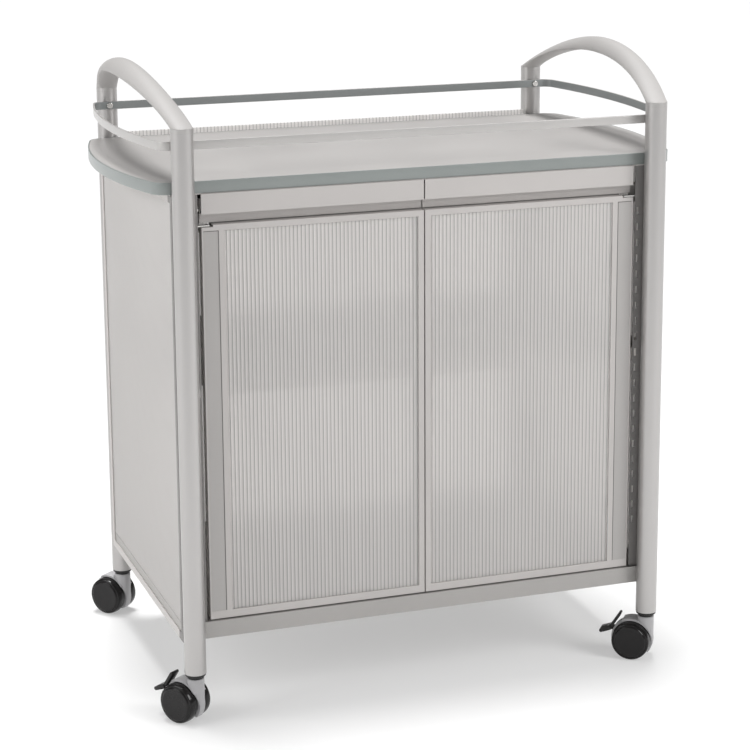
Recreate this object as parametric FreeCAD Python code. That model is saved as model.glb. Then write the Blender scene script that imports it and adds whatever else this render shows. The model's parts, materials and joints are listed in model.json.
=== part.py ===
"""Mobile printer stand: four tube posts on twin-wheel casters, a bowed worktop with a guard
rail, two arched push handles, and a cabinet with two doors, two shallow drawers and a shelf.

Millimetres. Origin on the floor under the middle of the four posts, +X to the right,
-Y to the front, +Z up.
"""
import FreeCAD
import Part
import math
import os

V = FreeCAD.Vector
X_AXIS = V(1, 0, 0)
Y_AXIS = V(0, 1, 0)
Z_AXIS = V(0, 0, 1)
ORIGIN = V(0, 0, 0)

# ---- driving dimensions -------------------------------------------------------------
# clearances
RUN_FIT = 0.05          # radial, between a pin or shaft and the hole it turns in
SLIP = 0.1              # radial, between a spigot and the tube it is pushed into
LOOSE = 0.5             # all round, between pieces that are only laid or hung in place
DOOR_GAP = 2.0          # between a door and what is beside it
DRAWER_GAP = 1.0        # above and below a drawer front
OVERCUT = 1.0           # cutting tools run past the piece

# posts and handles
POST_PITCH_X = 745.0
POST_PITCH_Y = 489.0
POST_D = 33.0
POST_WALL = 1.5
POST_RISE = 80.0        # top of the posts above the worktop
ARCH_RISE = 73.0        # crown of the handle above the top of the posts
ARCH_INNER_RISE = 50.0
ARCH_WIDTH = 40.0       # across the handle at its crown
ARCH_SPLAY = 24.0       # the crown leans out past the posts
SPIGOT_LENGTH = 20.0
ARCH_STEPS = 12

# worktop and guard rail
WORKTOP_Z = 820.0       # height of the top surface
WORKTOP_T = 18.0
WORKTOP_OVERHANG = 32.5  # past the post centres, at the corners
WORKTOP_BOW = 36.5      # how far each end bulges past its corners
WORKTOP_CORNER = 28.0
BAND_T = 2.0            # edge band
RAIL_RISE = 59.0        # top edge of the guard rail above the worktop
RAIL_H = 13.0
RAIL_T = 3.0
RAIL_OVERHANG = 26.5
RAIL_BOW = 27.0
RAIL_CORNER = 18.0

# fasteners
SCREW_D = 5.0
SCREW_HEAD_D = 10.0
SCREW_HEAD_H = 3.0
SCREW_LENGTH = 9.0
BOLT_D = 6.0
BOLT_HEAD_D = 11.0
BOLT_HEAD_H = 4.0
BOLT_LENGTH = 8.0
BOLT_INSET_Z = 14.0     # from the ends of the side frame to its bolts
RIVET_D = 5.0
RIVET_HEAD_D = 11.0
RIVET_HEAD_H = 1.6
RIVET_ROWS = 4

# cabinet shell
SHEET = 1.5             # steel sheet
PANEL_T = 4.0           # translucent twin-wall sheet
CABINET_RISE = 46.0     # cabinet above the feet of the posts
APRON_H = 26.0
APRON_AHEAD = 4.5       # apron ahead of the side frames' front flanges
APRON_GAP = 0.7         # between the ends of the apron and the posts
SIDE_INSET = 1.0        # side frame behind the outside of the posts
SIDE_STILE = 10.5       # front and rear strips of the side frame beside its window
SIDE_RAIL = 12.0        # top and bottom strips of the side frame
FRONT_FLANGE = 40.0     # inward reach of the side frame's front flange
REAR_FLANGE = 58.0
BACK_PANEL_RISE = 8.0   # back panel above the worktop
SLOT_W = 4.0
SLOT_H = 12.0
SLOT_PITCH = 25.0
SLOT_MARGIN = 65.0      # no slots this close to the cabinet's floor and ceiling
SLOT_EDGE = 4.5         # from the inner edge of the flange to the middle of the slots
SHELF_RISE = 361.0      # shelf above the cabinet floor
SHELF_LIP = 20.0
SHELF_SETBACK = 9.0     # from the doors' back face to the shelf's lip
CLIP_W = 10.0

# doors
FRONT_AHEAD = 2.5       # doors and drawers ahead of the side frames' front flanges
DOOR_INSET = 5.0        # between a door's edge and the edge of the flange beside it
DOOR_T = 15.0
DOOR_BORDER = 9.0
DOOR_FOOT = 12.0        # lower border
DOOR_BACK_BORDER = 14.0
DOOR_LIFT = 2.5         # gap under the doors
STRIP_W = 23.0          # cover strip on the hinge side
STRIP_EDGE = 2.0
STRIP_T = 1.2
TAB_W = 2.4
TAB_H = 7.0
TAB_SHARES = (0.04, 0.5, 0.96)  # places of the tabs along the strip
CENTRE_GAP = 2.0
PIN_D = 5.0
PIN_INSET = 8.0         # hinge axis from the door's edge and from its front
PIN_LENGTH = 20.0
NOTCH_W = 17.0
NOTCH_D = 3.2
BRACKET_T = 2.0
BRACKET_WALL = 1.4      # metal round the pin hole
CLIP_COUNT = 3

# drawers
BAND_H = 30.0           # drawer front
GROOVE_H = 16.0         # finger groove between drawer fronts and doors
GROOVE_DEPTH = 12.0
TRAY_BACK_GAP = 57.5    # behind the closed trays
TRAY_HEADROOM = 8.0
TRAY_SHEET = 1.2
TRAY_LIP = 6.0
CROSS_RAIL_H = 28.0
CROSS_RAIL_D = 18.0
MAGNET_H = 20.0

# casters
WHEEL_D = 62.0
HEADROOM = 17.0         # between the top of the wheels and the foot of the post
TREAD_BEVEL = 3.5
DISC_D = 50.0           # raised disc on a wheel's outer face
DISC_STEP = 1.4
WHEEL_W = 18.5
WHEEL_GAP = 13.0        # between the two wheels, where the hood runs
TRAIL = 21.0
AXLE_D = 6.0
AXLE_SHARE = 0.75       # of a wheel's width that the axle goes into
STEM_D = 10.0
STEM_DROP = 20.0        # stem below the top of the hood
STEM_RISE = 28.0        # stem inside the post
HOOD_T = 12.0
HOOD_REACH = 2.5        # hood past the wheels
NECK_D = 26.0
COLLAR_D = POST_D - 1.5
COLLAR_FOOT_D = POST_D - 8.4
COLLAR_H = 7.6
HOOD_TO_COLLAR = 0.4
CROWN_BASE = 18.6       # widened top of the hood, from here above the axle
LEVER_W = 20.0          # across the pad
LEVER_WEB = 6.0         # thickness of the lever where it runs in the hood
LEVER_HUB_D = 9.0
LEVER_ARM_T = 7.2
LEVER_PIN_D = 4.0
LEVER_BEND = 12.0       # where pad and prong meet, past the pivot
LEVER_BEND_RISE = 2.0
LEVER_PAD = 26.0        # tip of the pad, past the pivot
LEVER_PAD_T = 6.0
LEVER_PAD_DROP = 3.25
LEVER_PRONG = 26.0      # tip of the prong, above the pivot
LEVER_PRONG_T = 4.5
LEVER_PRONG_W = 16.0
LEVER_PRONG_LEAN = 3.25
LEVER_SWING = 9.6       # room under the pivot
LEVER_PIVOT_DEPTH = 4.0  # lever pivot inside the wheels' rim
LEVER_PIVOT_ANGLE = 28.0
# direction in which each caster trails, anticlockwise from +X
CASTER_TURN = {
    "left_front": 126.0,
    "right_front": 143.0,
    "left_rear": 129.0,
    "right_rear": 136.0,
}

# ---- derived places -----------------------------------------------------------------
WHEEL_R = WHEEL_D / 2
CASTER_H = WHEEL_D + HEADROOM
CABINET_BOTTOM = CASTER_H + CABINET_RISE
POST_TOP = WORKTOP_Z + POST_RISE
RAIL_Z = WORKTOP_Z + RAIL_RISE
POST_R = POST_D / 2
POST_X = POST_PITCH_X / 2
POST_Y = POST_PITCH_Y / 2
POST_INNER_Y = POST_Y - POST_R              # inner tangent of the posts
WORKTOP_BOTTOM = WORKTOP_Z - WORKTOP_T
WORKTOP_HALF_DEPTH = POST_INNER_Y - LOOSE
SIDE_X = POST_X + POST_R - SIDE_INSET       # outside of the side frames
SIDE_INNER_X = SIDE_X - SHEET
FLANGE_Y = POST_INNER_Y - LOOSE             # outer face of the side frames' flanges
FLANGE_INNER_Y = FLANGE_Y - SHEET
FRONT_Y = FLANGE_Y + FRONT_AHEAD            # front face of doors and drawers
APRON_FRONT = FLANGE_Y + APRON_AHEAD
WEB_END_Y = POST_Y - math.sqrt(POST_R**2 - (SIDE_INNER_X - POST_X) ** 2) - 2 * SLIP
FLOOR_Z = CABINET_BOTTOM + APRON_H
SHELF_Z = FLOOR_Z + SHELF_RISE
CEILING_Z = WORKTOP_BOTTOM - SHEET          # underside of the top frame
BAND_TOP = WORKTOP_BOTTOM - DRAWER_GAP
BAND_BOTTOM = BAND_TOP - BAND_H
DOOR_TOP = BAND_BOTTOM - GROOVE_H
DOOR_BOTTOM = FLOOR_Z + DOOR_LIFT
DOOR_BACK_Y = -FRONT_Y + DOOR_T
DOOR_EDGE_X = SIDE_X - FRONT_FLANGE - DOOR_INSET
DOOR_FREE_X = CENTRE_GAP / 2
PIN_X = DOOR_EDGE_X - PIN_INSET
PIN_Y = -FRONT_Y + PIN_INSET
RAIL_TOP = BAND_BOTTOM - DRAWER_GAP                # top of the cross rail under the drawers
RAIL_BOTTOM = RAIL_TOP - CROSS_RAIL_H
CROSS_RAIL_Y = DOOR_BACK_Y + LOOSE
TRAY_Z = BAND_BOTTOM + SHEET + LOOSE        # underside of the drawer trays
TRAY_TOP = CEILING_Z - TRAY_HEADROOM
TRAY_FRONT_Y = -FRONT_Y + GROOVE_DEPTH + SHEET
TRAY_BACK_Y = FLANGE_INNER_Y - TRAY_BACK_GAP
RUNNER_X = DOOR_EDGE_X + DOOR_GAP
HOOD_TOP = CASTER_H - COLLAR_H - HOOD_TO_COLLAR
DIVIDER_X = SHEET / 2


# ---- shape helpers ------------------------------------------------------------------
def box(x0, x1, y0, y1, z0, z1):
    """Box between two values on each axis."""
    base = V(min(x0, x1), min(y0, y1), min(z0, z1))
    return Part.makeBox(abs(x1 - x0), abs(y1 - y0), abs(z1 - z0), base)


def rod(start, axis, radius, length):
    """Round bar from start along axis."""
    return Part.makeCylinder(radius, length, start, axis)


def tube(start, axis, outer, inner, length):
    """Round tube from start along axis; outer and inner are radii."""
    return rod(start, axis, outer, length).cut(rod(start, axis, inner, length))


def fused(first, *others):
    """One solid from touching or overlapping shapes, with the joint lines removed."""
    return first.fuse(list(others)).removeSplitter()


def mirrored(shape):
    """The same piece on the other side of the X = 0 plane."""
    return shape.mirror(ORIGIN, X_AXIS)


def handed(side, shape):
    """A piece modelled on the left, for the given side."""
    return shape if side == "left" else mirrored(shape)


def corners():
    """Name, X sign and Y sign of the four posts."""
    for side, sx in (("left", -1), ("right", 1)):
        for end, sy in (("front", -1), ("rear", 1)):
            yield side + "_" + end, sx, sy


def save(shape, node):
    """Write one sub-part."""
    shape.exportStep("parts/" + node + ".step")


def bowed_plate(overhang, bow, half_depth, corner, inset, z0, z1):
    """Plate with straight long edges, bowed ends and rounded corners, shrunk by inset."""
    half_length = POST_X + overhang
    end_radius = (half_depth**2 + bow**2) / (2 * bow)
    centre_x = half_length + bow - end_radius
    radius = end_radius - inset
    y = half_depth - inset
    x = centre_x + math.sqrt(radius**2 - y**2)
    tip = centre_x + radius
    edges = [
        Part.makeLine(V(-x, -y, z0), V(x, -y, z0)),
        Part.Arc(V(x, -y, z0), V(tip, 0, z0), V(x, y, z0)).toShape(),
        Part.makeLine(V(x, y, z0), V(-x, y, z0)),
        Part.Arc(V(-x, y, z0), V(-tip, 0, z0), V(-x, -y, z0)).toShape(),
    ]
    plate = Part.Face(Part.Wire(edges)).extrude(V(0, 0, z1 - z0))
    upright = [e for e in plate.Edges if is_corner_edge(e, x, y)]
    return plate.makeFillet(corner - inset, upright)


def rim(shape, centre):
    """The round edges of a shape about one centre."""
    round_edges = [e for e in shape.Edges if len(e.Vertexes) == 1]
    return [e for e in round_edges if (e.CenterOfMass - centre).Length < 1e-3]


def is_corner_edge(edge, x, y):
    """True for an upright edge at one of the four corners."""
    a, b = edge.Vertexes[0].Point, edge.Vertexes[-1].Point
    same_place = abs(a.x - b.x) < 1e-6 and abs(a.y - b.y) < 1e-6
    return same_place and abs(abs(a.x) - x) < 1e-3 and abs(abs(a.y) - y) < 1e-3


# ---- posts, handles, worktop and guard rail -----------------------------------------
def bolt_heights():
    """Heights of the bolts that hold each side frame to its posts."""
    return (CABINET_BOTTOM + APRON_H - BOLT_INSET_Z, WORKTOP_BOTTOM - BOLT_INSET_Z)


def post(sx, sy):
    """Steel tube with holes in its inner wall for the frame bolts and the rail screw."""
    x, y = sx * POST_X, sy * POST_Y
    body = tube(V(x, y, CASTER_H), Z_AXIS, POST_R, POST_R - POST_WALL, POST_TOP - CASTER_H)
    for z in bolt_heights():
        body = body.cut(rod(V(x, y, z), V(0, -sy, 0), BOLT_D / 2, POST_D))
    screw_z = RAIL_Z - RAIL_H / 2
    return body.cut(rod(V(x, y, screw_z), V(0, -sy, 0), SCREW_D / 2, POST_D))


def arch_section(sx, angle):
    """Closed section of the handle at an angle from the front post: a full circle where it
    leaves the post, leaning out and flattened on the inside towards the crown."""
    lift = math.sin(angle)
    lean = sx * ARCH_SPLAY * lift**2
    outer_y = -(POST_Y + POST_R) * math.cos(angle)
    inner_y = -(POST_Y - POST_R) * math.cos(angle)
    outer = V(lean, outer_y, POST_TOP + ARCH_RISE * lift**2)
    inner = V(lean, inner_y, POST_TOP + ARCH_INNER_RISE * lift**1.5)
    half_width = (POST_D + (ARCH_WIDTH - POST_D) * lift**2) / 2
    flatness = 0.5 - 0.4 * lift
    crease = inner + (outer - inner) * flatness
    left = crease - X_AXIS * half_width
    right = crease + X_AXIS * half_width
    return Part.Wire([
        Part.Arc(left, outer, right).toShape(),
        Part.Arc(right, inner, left).toShape(),
    ])


def handle_arch(sx):
    """Moulded handle over the two posts of one side, with a spigot into each post."""
    angles = [math.pi * i / ARCH_STEPS for i in range(ARCH_STEPS + 1)]
    arch = Part.makeLoft([arch_section(sx, a) for a in angles], True)
    spigot_r = POST_R - POST_WALL - SLIP
    spigots = []
    for sy in (-1, 1):
        foot = V(0, sy * POST_Y, POST_TOP - SPIGOT_LENGTH)
        spigots.append(rod(foot, Z_AXIS, spigot_r, SPIGOT_LENGTH + LOOSE))
    arch = arch.fuse(spigots)
    arch.translate(V(sx * POST_X, 0, 0))
    return arch


def worktop_board():
    """Laminated board inside its edge band."""
    return bowed_plate(WORKTOP_OVERHANG, WORKTOP_BOW, WORKTOP_HALF_DEPTH, WORKTOP_CORNER,
                       BAND_T, WORKTOP_BOTTOM, WORKTOP_Z)


def worktop_edge_band():
    """Band round the edge of the board."""
    outer = bowed_plate(WORKTOP_OVERHANG, WORKTOP_BOW, WORKTOP_HALF_DEPTH, WORKTOP_CORNER,
                        0, WORKTOP_BOTTOM, WORKTOP_Z)
    return outer.cut(worktop_board())


def guard_rail():
    """Closed ring of flat bar on the inside of the posts."""
    z0 = RAIL_Z - RAIL_H
    outer = bowed_plate(RAIL_OVERHANG, RAIL_BOW, POST_INNER_Y, RAIL_CORNER, 0, z0, RAIL_Z)
    inner = bowed_plate(RAIL_OVERHANG, RAIL_BOW, POST_INNER_Y, RAIL_CORNER, RAIL_T,
                        z0, RAIL_Z)
    ring = outer.cut(inner)
    for _, sx, sy in corners():
        hole = V(sx * POST_X, sy * (POST_INNER_Y - 2 * RAIL_T), RAIL_Z - RAIL_H / 2)
        ring = ring.cut(rod(hole, V(0, sy, 0), SCREW_D / 2 + SLIP, 3 * RAIL_T))
    return ring


def guard_rail_screws():
    """Pan-head screws through the guard rail into the posts."""
    screws = []
    for _, sx, sy in corners():
        seat = V(sx * POST_X, sy * (POST_INNER_Y - RAIL_T), RAIL_Z - RAIL_H / 2)
        inward = V(0, -sy, 0)
        head = rod(seat, inward, SCREW_HEAD_D / 2, SCREW_HEAD_H)
        head = head.makeFillet(SCREW_HEAD_H / 3, rim(head, seat + inward * SCREW_HEAD_H))
        screws.append(fused(head, rod(seat, V(0, sy, 0), SCREW_D / 2, SCREW_LENGTH)))
    return Part.Compound(screws)


# ---- cabinet shell ------------------------------------------------------------------
def side_frame():
    """Left side: a sheet with a window, folded in at the front, back, top and bottom."""
    z0, z1 = CABINET_BOTTOM, WORKTOP_BOTTOM
    web = box(-SIDE_X, -SIDE_INNER_X, -WEB_END_Y, WEB_END_Y, z0, z1)
    window_y = WEB_END_Y - SIDE_STILE
    window = box(-SIDE_X - OVERCUT, -SIDE_INNER_X + OVERCUT, -window_y, window_y,
                 z0 + SIDE_RAIL, z1 - SIDE_RAIL)
    front_x = -SIDE_X + FRONT_FLANGE
    front = box(-SIDE_X, front_x, -FLANGE_Y, -FLANGE_INNER_Y, z0, z1)
    rear = box(-SIDE_X, -SIDE_X + REAR_FLANGE, FLANGE_INNER_Y, FLANGE_Y, z0, z1)
    top = box(-SIDE_X, -SIDE_X + REAR_FLANGE / 2, -FLANGE_Y, FLANGE_Y,
              CEILING_Z - SHEET, CEILING_Z)
    frame = fused(web.cut(window), front, rear, top)
    frame = frame.cut(box(-SIDE_X - OVERCUT, 0, -POST_Y, POST_Y,
                          CEILING_Z, WORKTOP_BOTTOM + OVERCUT))
    slot_x = front_x - SLOT_EDGE
    for z in slot_heights():
        for y in (-FLANGE_Y, FLANGE_Y):
            frame = frame.cut(box(slot_x - SLOT_W / 2, slot_x + SLOT_W / 2,
                                  y - 2 * SHEET, y + 2 * SHEET, z, z + SLOT_H))
    for z in bolt_heights():
        for sy in (-1, 1):
            hole = V(-POST_X, sy * (FLANGE_INNER_Y - SHEET), z)
            frame = frame.cut(rod(hole, V(0, sy, 0), BOLT_D / 2 + SLIP, 3 * SHEET))
    return cut_rivet_holes(frame)


def slot_heights():
    """Lower ends of the shelf slots; one of them lines up with the shelf's clips."""
    at_clip = SHELF_Z - SHEET - SLOT_H
    below = int((at_clip - FLOOR_Z - SLOT_MARGIN) / SLOT_PITCH)
    above = int((CEILING_Z - SLOT_MARGIN - SLOT_H - at_clip) / SLOT_PITCH)
    return [at_clip + SLOT_PITCH * i for i in range(-below, above + 1)]


def rivet_places():
    """X and Z of the push rivets that hold the back panel."""
    z0 = FLOOR_Z + SIDE_RAIL
    z1 = WORKTOP_BOTTOM - 2 * SIDE_RAIL
    x = SIDE_X - REAR_FLANGE + RIVET_HEAD_D
    for i in range(RIVET_ROWS):
        z = z0 + (z1 - z0) * i / (RIVET_ROWS - 1)
        yield -x, z
        yield x, z


def cut_rivet_holes(shape):
    """Holes for the push rivets, along Y."""
    for x, z in rivet_places():
        start = V(x, FLANGE_INNER_Y - SHEET, z)
        shape = shape.cut(rod(start, Y_AXIS, RIVET_D / 2 + SLIP, 4 * SHEET + PANEL_T))
    return shape


def side_panel():
    """Left translucent panel, inside the side frame's window."""
    y = FLANGE_INNER_Y - LOOSE
    return box(-SIDE_INNER_X, -SIDE_INNER_X + PANEL_T, -y, y,
               FLOOR_Z + LOOSE, CEILING_Z - SHEET - LOOSE)


def back_panel_y():
    """Front face of the back panel."""
    return FLANGE_Y + LOOSE


def back_panel():
    """Translucent back between the rear posts, standing a little above the worktop."""
    x = POST_X - POST_R - 4 * LOOSE
    y = back_panel_y()
    panel = box(-x, x, y, y + PANEL_T, CABINET_BOTTOM, WORKTOP_Z + BACK_PANEL_RISE)
    return cut_rivet_holes(panel)


def panel_rivets():
    """Push rivets through the back panel and the side frames' rear flanges."""
    rivets = []
    back = back_panel_y() + PANEL_T
    for x, z in rivet_places():
        shank = rod(V(x, FLANGE_INNER_Y - SHEET, z), Y_AXIS, RIVET_D / 2,
                    back - FLANGE_INNER_Y + SHEET)
        head = rod(V(x, back, z), Y_AXIS, RIVET_HEAD_D / 2, RIVET_HEAD_H)
        rivets.append(fused(shank, head))
    return Part.Compound(rivets)


def bottom_pan():
    """Floor of the cabinet, with the front apron and turned-down sides and back."""
    z0, z1 = CABINET_BOTTOM, FLOOR_Z
    inner_x = SIDE_INNER_X - SLIP
    inner_y = FLANGE_INNER_Y - SLIP
    between = SIDE_X - FRONT_FLANGE - LOOSE
    apron_x = POST_X - math.sqrt(POST_R**2 - (POST_Y - APRON_FRONT) ** 2) - APRON_GAP
    floor = box(-inner_x, inner_x, -inner_y, inner_y, z1 - SHEET, z1)
    lip = box(-between, between, -APRON_FRONT, -inner_y, z1 - SHEET, z1)
    apron = box(-apron_x, apron_x, -APRON_FRONT, -APRON_FRONT + SHEET, z0, z1)
    turned_under = box(-between, between, -APRON_FRONT, -APRON_FRONT + 3 * BOLT_D, z0, z0 + SHEET)
    back = box(-inner_x, inner_x, inner_y - SHEET, inner_y, z0 + SHEET, z1)
    left = box(-inner_x, -inner_x + SHEET, -inner_y, inner_y, z0 + SHEET, z1)
    pan = fused(floor, lip, apron, turned_under, back, left, mirrored(left))
    for _, sx, sy in corners():
        start = V(sx * POST_X, sy * (inner_y - 3 * SHEET), bolt_heights()[0])
        pan = pan.cut(rod(start, V(0, sy, 0), BOLT_HEAD_D / 2 + LOOSE, 4 * SHEET))
    for sx in (-1, 1):
        pan = pan.cut(rod(V(sx * PIN_X, PIN_Y, z0 + 2 * SHEET), Z_AXIS,
                          PIN_D / 2 + RUN_FIT, APRON_H))
    return pan


def top_frame():
    """Sheet that closes the cabinet and carries the worktop, with a wide middle opening."""
    x = SIDE_X - SLIP
    plate = box(-x, x, -FLANGE_Y, FLANGE_Y, CEILING_Z, WORKTOP_BOTTOM)
    hole_y = FLANGE_Y / 2
    for sx in (-1, 1):
        plate = plate.cut(box(sx * 4 * SIDE_RAIL, sx * (x - 6 * SIDE_RAIL), -hole_y, hole_y,
                              CEILING_Z - OVERCUT, WORKTOP_BOTTOM + OVERCUT))
    return plate


def frame_bolts():
    """Bolts through the side frames' flanges into the posts."""
    bolts = []
    for _, sx, sy in corners():
        for z in bolt_heights():
            seat = V(sx * POST_X, sy * FLANGE_INNER_Y, z)
            head = rod(seat, V(0, -sy, 0), BOLT_HEAD_D / 2, BOLT_HEAD_H)
            shank = rod(seat, V(0, sy, 0), BOLT_D / 2, BOLT_LENGTH)
            bolts.append(fused(head, shank))
    return Part.Compound(bolts)


def adjustable_shelf():
    """Steel shelf with turned-down front and back lips between the slot columns."""
    x = SIDE_INNER_X - PANEL_T - 2 * LOOSE
    y0 = DOOR_BACK_Y + SHELF_SETBACK
    y1 = FLANGE_INNER_Y - LOOSE
    lip_x = SIDE_X - REAR_FLANGE
    plate = box(-x, x, y0, y1, SHELF_Z - SHEET, SHELF_Z)
    front = box(-lip_x, lip_x, y0, y0 + SHEET, SHELF_Z - SHELF_LIP, SHELF_Z)
    back = box(-lip_x, lip_x, y1 - SHEET, y1, SHELF_Z - SHELF_LIP, SHELF_Z)
    return fused(plate, front, back)


def shelf_clips():
    """Hooked clips in the slots, under the corners of the shelf."""
    clips = []
    top = SHELF_Z - SHEET
    slot_x = SIDE_X - FRONT_FLANGE + SLOT_EDGE
    for _, sx, sy in corners():
        near = sy * FLANGE_INNER_Y
        tab = box(sx * slot_x - CLIP_W / 2, sx * slot_x + CLIP_W / 2, near, near - sy * 3 * CLIP_W,
                  top - SHEET, top)
        plate = box(sx * slot_x - CLIP_W / 2, sx * slot_x + CLIP_W / 2, near, near - sy * SHEET,
                    top - SHELF_LIP, top)
        tongue = box(sx * slot_x - SLOT_W / 2 + SLIP, sx * slot_x + SLOT_W / 2 - SLIP,
                     near, near + sy * (SHEET + LOOSE / 2), top - SLOT_H + SLIP, top - SLIP)
        clips.append(fused(tab, plate, tongue))
    return Part.Compound(clips)


def drawer_support():
    """Cross rail behind the finger groove, with the divider between the two drawers; the rail
    is cut back where the doors' hinge edges swing."""
    x = SIDE_INNER_X - PANEL_T - LOOSE
    outer = box(-x, x, CROSS_RAIL_Y, CROSS_RAIL_Y + CROSS_RAIL_D, RAIL_BOTTOM, RAIL_TOP)
    inner = box(-x, x, CROSS_RAIL_Y + SHEET, CROSS_RAIL_Y + CROSS_RAIL_D,
                RAIL_BOTTOM + SHEET, RAIL_TOP - SHEET)
    divider = box(-DIVIDER_X, DIVIDER_X, CROSS_RAIL_Y + SHEET, FLANGE_INNER_Y - LOOSE,
                  RAIL_BOTTOM, CEILING_Z)
    rail = outer.cut(inner)
    swing_r = math.hypot(PIN_INSET, max(PIN_INSET, DOOR_T - PIN_INSET)) + LOOSE
    for sx in (-1, 1):
        rail = rail.cut(rod(V(sx * PIN_X, PIN_Y, RAIL_BOTTOM - OVERCUT), Z_AXIS, swing_r,
                            DOOR_TOP + DOOR_GAP - RAIL_BOTTOM + OVERCUT))
    return fused(rail, divider)


def runner_ledge():
    """Height of the ledge that the drawer trays slide on."""
    return TRAY_TOP - 2 * TRAY_SHEET - LOOSE


def drawer_fixed_runners():
    """Angles that carry the tray lips: two under the top frame, two on the divider."""
    z0 = runner_ledge()
    y0, y1 = CROSS_RAIL_Y, TRAY_BACK_Y
    runners = []
    for sx in (-1, 1):
        wall = box(sx * RUNNER_X, sx * (RUNNER_X - TRAY_SHEET), y0, y1, z0, CEILING_Z)
        ledge = box(sx * RUNNER_X, sx * (RUNNER_X - TRAY_LIP), y0, y1, z0, z0 + TRAY_SHEET)
        runners.append(fused(wall, ledge))
        wall = box(sx * DIVIDER_X, sx * (DIVIDER_X + TRAY_SHEET), y0 + SHEET, y1, z0, CEILING_Z)
        ledge = box(sx * DIVIDER_X, sx * (DIVIDER_X + TRAY_LIP), y0 + SHEET, y1,
                    z0, z0 + TRAY_SHEET)
        runners.append(fused(wall, ledge))
    return Part.Compound(runners)


def door_catches():
    """Magnets under the cross rail, behind the free edge of each door."""
    magnets = []
    for sx in (-1, 1):
        magnets.append(box(sx * (DOOR_FREE_X + DOOR_GAP),
                           sx * (DOOR_FREE_X + DOOR_BACK_BORDER - SHEET),
                           CROSS_RAIL_Y, CROSS_RAIL_Y + CROSS_RAIL_D / 2,
                           RAIL_BOTTOM - MAGNET_H, RAIL_BOTTOM))
    return Part.Compound(magnets)


def bracket_height():
    """Underside of the upper hinge brackets, level with the notch in the doors."""
    return DOOR_TOP - NOTCH_D + LOOSE


def hinge_brackets():
    """Upper hinge brackets: a tab over each hinge pin, on a plate behind the flange."""
    brackets = []
    z0 = bracket_height()
    half = PIN_D / 2 + BRACKET_WALL
    outer_x = SIDE_X - FRONT_FLANGE / 2
    plate_x = SIDE_X - FRONT_FLANGE + SLOT_EDGE + SLOT_W
    front_y = max(PIN_Y - half, -FLANGE_INNER_Y)
    for sx in (-1, 1):
        tab = box(sx * (PIN_X - PIN_D), sx * outer_x, front_y, PIN_Y + half, z0, z0 + BRACKET_T)
        plate = box(sx * plate_x, sx * outer_x, -FLANGE_INNER_Y, PIN_Y + half,
                    z0 - APRON_H, z0 + BRACKET_T)
        pin_hole = rod(V(sx * PIN_X, PIN_Y, z0 - OVERCUT), Z_AXIS, PIN_D / 2 + RUN_FIT,
                       BRACKET_T + 2 * OVERCUT)
        brackets.append(fused(tab, plate).cut(pin_hole))
    return Part.Compound(brackets)


# ---- doors --------------------------------------------------------------------------
def door_frame():
    """Left door frame: a channel all round, with a recess for the hinge-side strip."""
    x0, x1 = -DOOR_EDGE_X, -DOOR_FREE_X
    z0, z1 = DOOR_BOTTOM, DOOR_TOP
    y0, y1 = -FRONT_Y, DOOR_BACK_Y
    strip_x1 = x0 + STRIP_EDGE + STRIP_W
    frame = box(x0, x1, y0, y1, z0, z1)
    frame = frame.cut(box(x0 + SHEET, x1 - SHEET, y0 + SHEET, y1 - SHEET, z0 + SHEET, z1 - SHEET))
    frame = frame.cut(box(strip_x1 + DOOR_BORDER, x1 - DOOR_BORDER,
                          y0 - OVERCUT, y0 + 2 * SHEET, z0 + DOOR_FOOT, z1 - DOOR_BORDER))
    frame = frame.cut(box(x0 + DOOR_BACK_BORDER, x1 - DOOR_BACK_BORDER,
                          y1 - 2 * SHEET, y1 + OVERCUT,
                          z0 + DOOR_BACK_BORDER, z1 - DOOR_BACK_BORDER))
    frame = frame.cut(box(x0 + STRIP_EDGE, strip_x1, y0 - OVERCUT, y0 + 2 * SHEET,
                          z0 + DOOR_FOOT, z1 - DOOR_BORDER))
    stile = box(x0 + SHEET, strip_x1 + SHEET, y0 + SHEET, y0 + 2 * SHEET, z0 + SHEET, z1 - SHEET)
    frame = fused(frame, stile)
    frame = frame.cut(box(x0 - OVERCUT, x0 + NOTCH_W, y0 - OVERCUT, y1 + OVERCUT,
                          z1 - NOTCH_D, z1 + OVERCUT))
    cover = box(x0, x0 + NOTCH_W + SHEET, y0, y1, z1 - NOTCH_D - SHEET, z1 - NOTCH_D)
    frame = fused(frame, cover)
    return frame.cut(rod(V(-PIN_X, PIN_Y, z0 - OVERCUT), Z_AXIS, PIN_D / 2,
                         z1 - z0 + 2 * OVERCUT))


def door_strip():
    """Left door's flat cover strip, with three snap tabs over the joint."""
    x0 = -DOOR_EDGE_X + STRIP_EDGE + SLIP
    x1 = x0 + STRIP_W - 2 * SLIP
    z0, z1 = DOOR_BOTTOM + DOOR_FOOT + SLIP, DOOR_TOP - DOOR_BORDER - SLIP
    y1 = -FRONT_Y + SHEET
    strip = box(x0, x1, y1 - STRIP_T, y1, z0, z1)
    tabs = []
    for share in TAB_SHARES:
        z = z0 + (z1 - z0) * share
        tabs.append(box(x1 - TAB_W, x1, -FRONT_Y, y1, z - TAB_H / 2, z + TAB_H / 2))
    return fused(strip, *tabs)


def door_panel():
    """Left door's translucent sheet, behind the lips of the frame."""
    x0 = -DOOR_EDGE_X + STRIP_EDGE + STRIP_W + SHEET + LOOSE
    x1 = -DOOR_FREE_X - SHEET - LOOSE
    y0 = -FRONT_Y + SHEET
    return box(x0, x1, y0, y0 + PANEL_T, DOOR_BOTTOM + SHEET + LOOSE, DOOR_TOP - SHEET - LOOSE)


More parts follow.
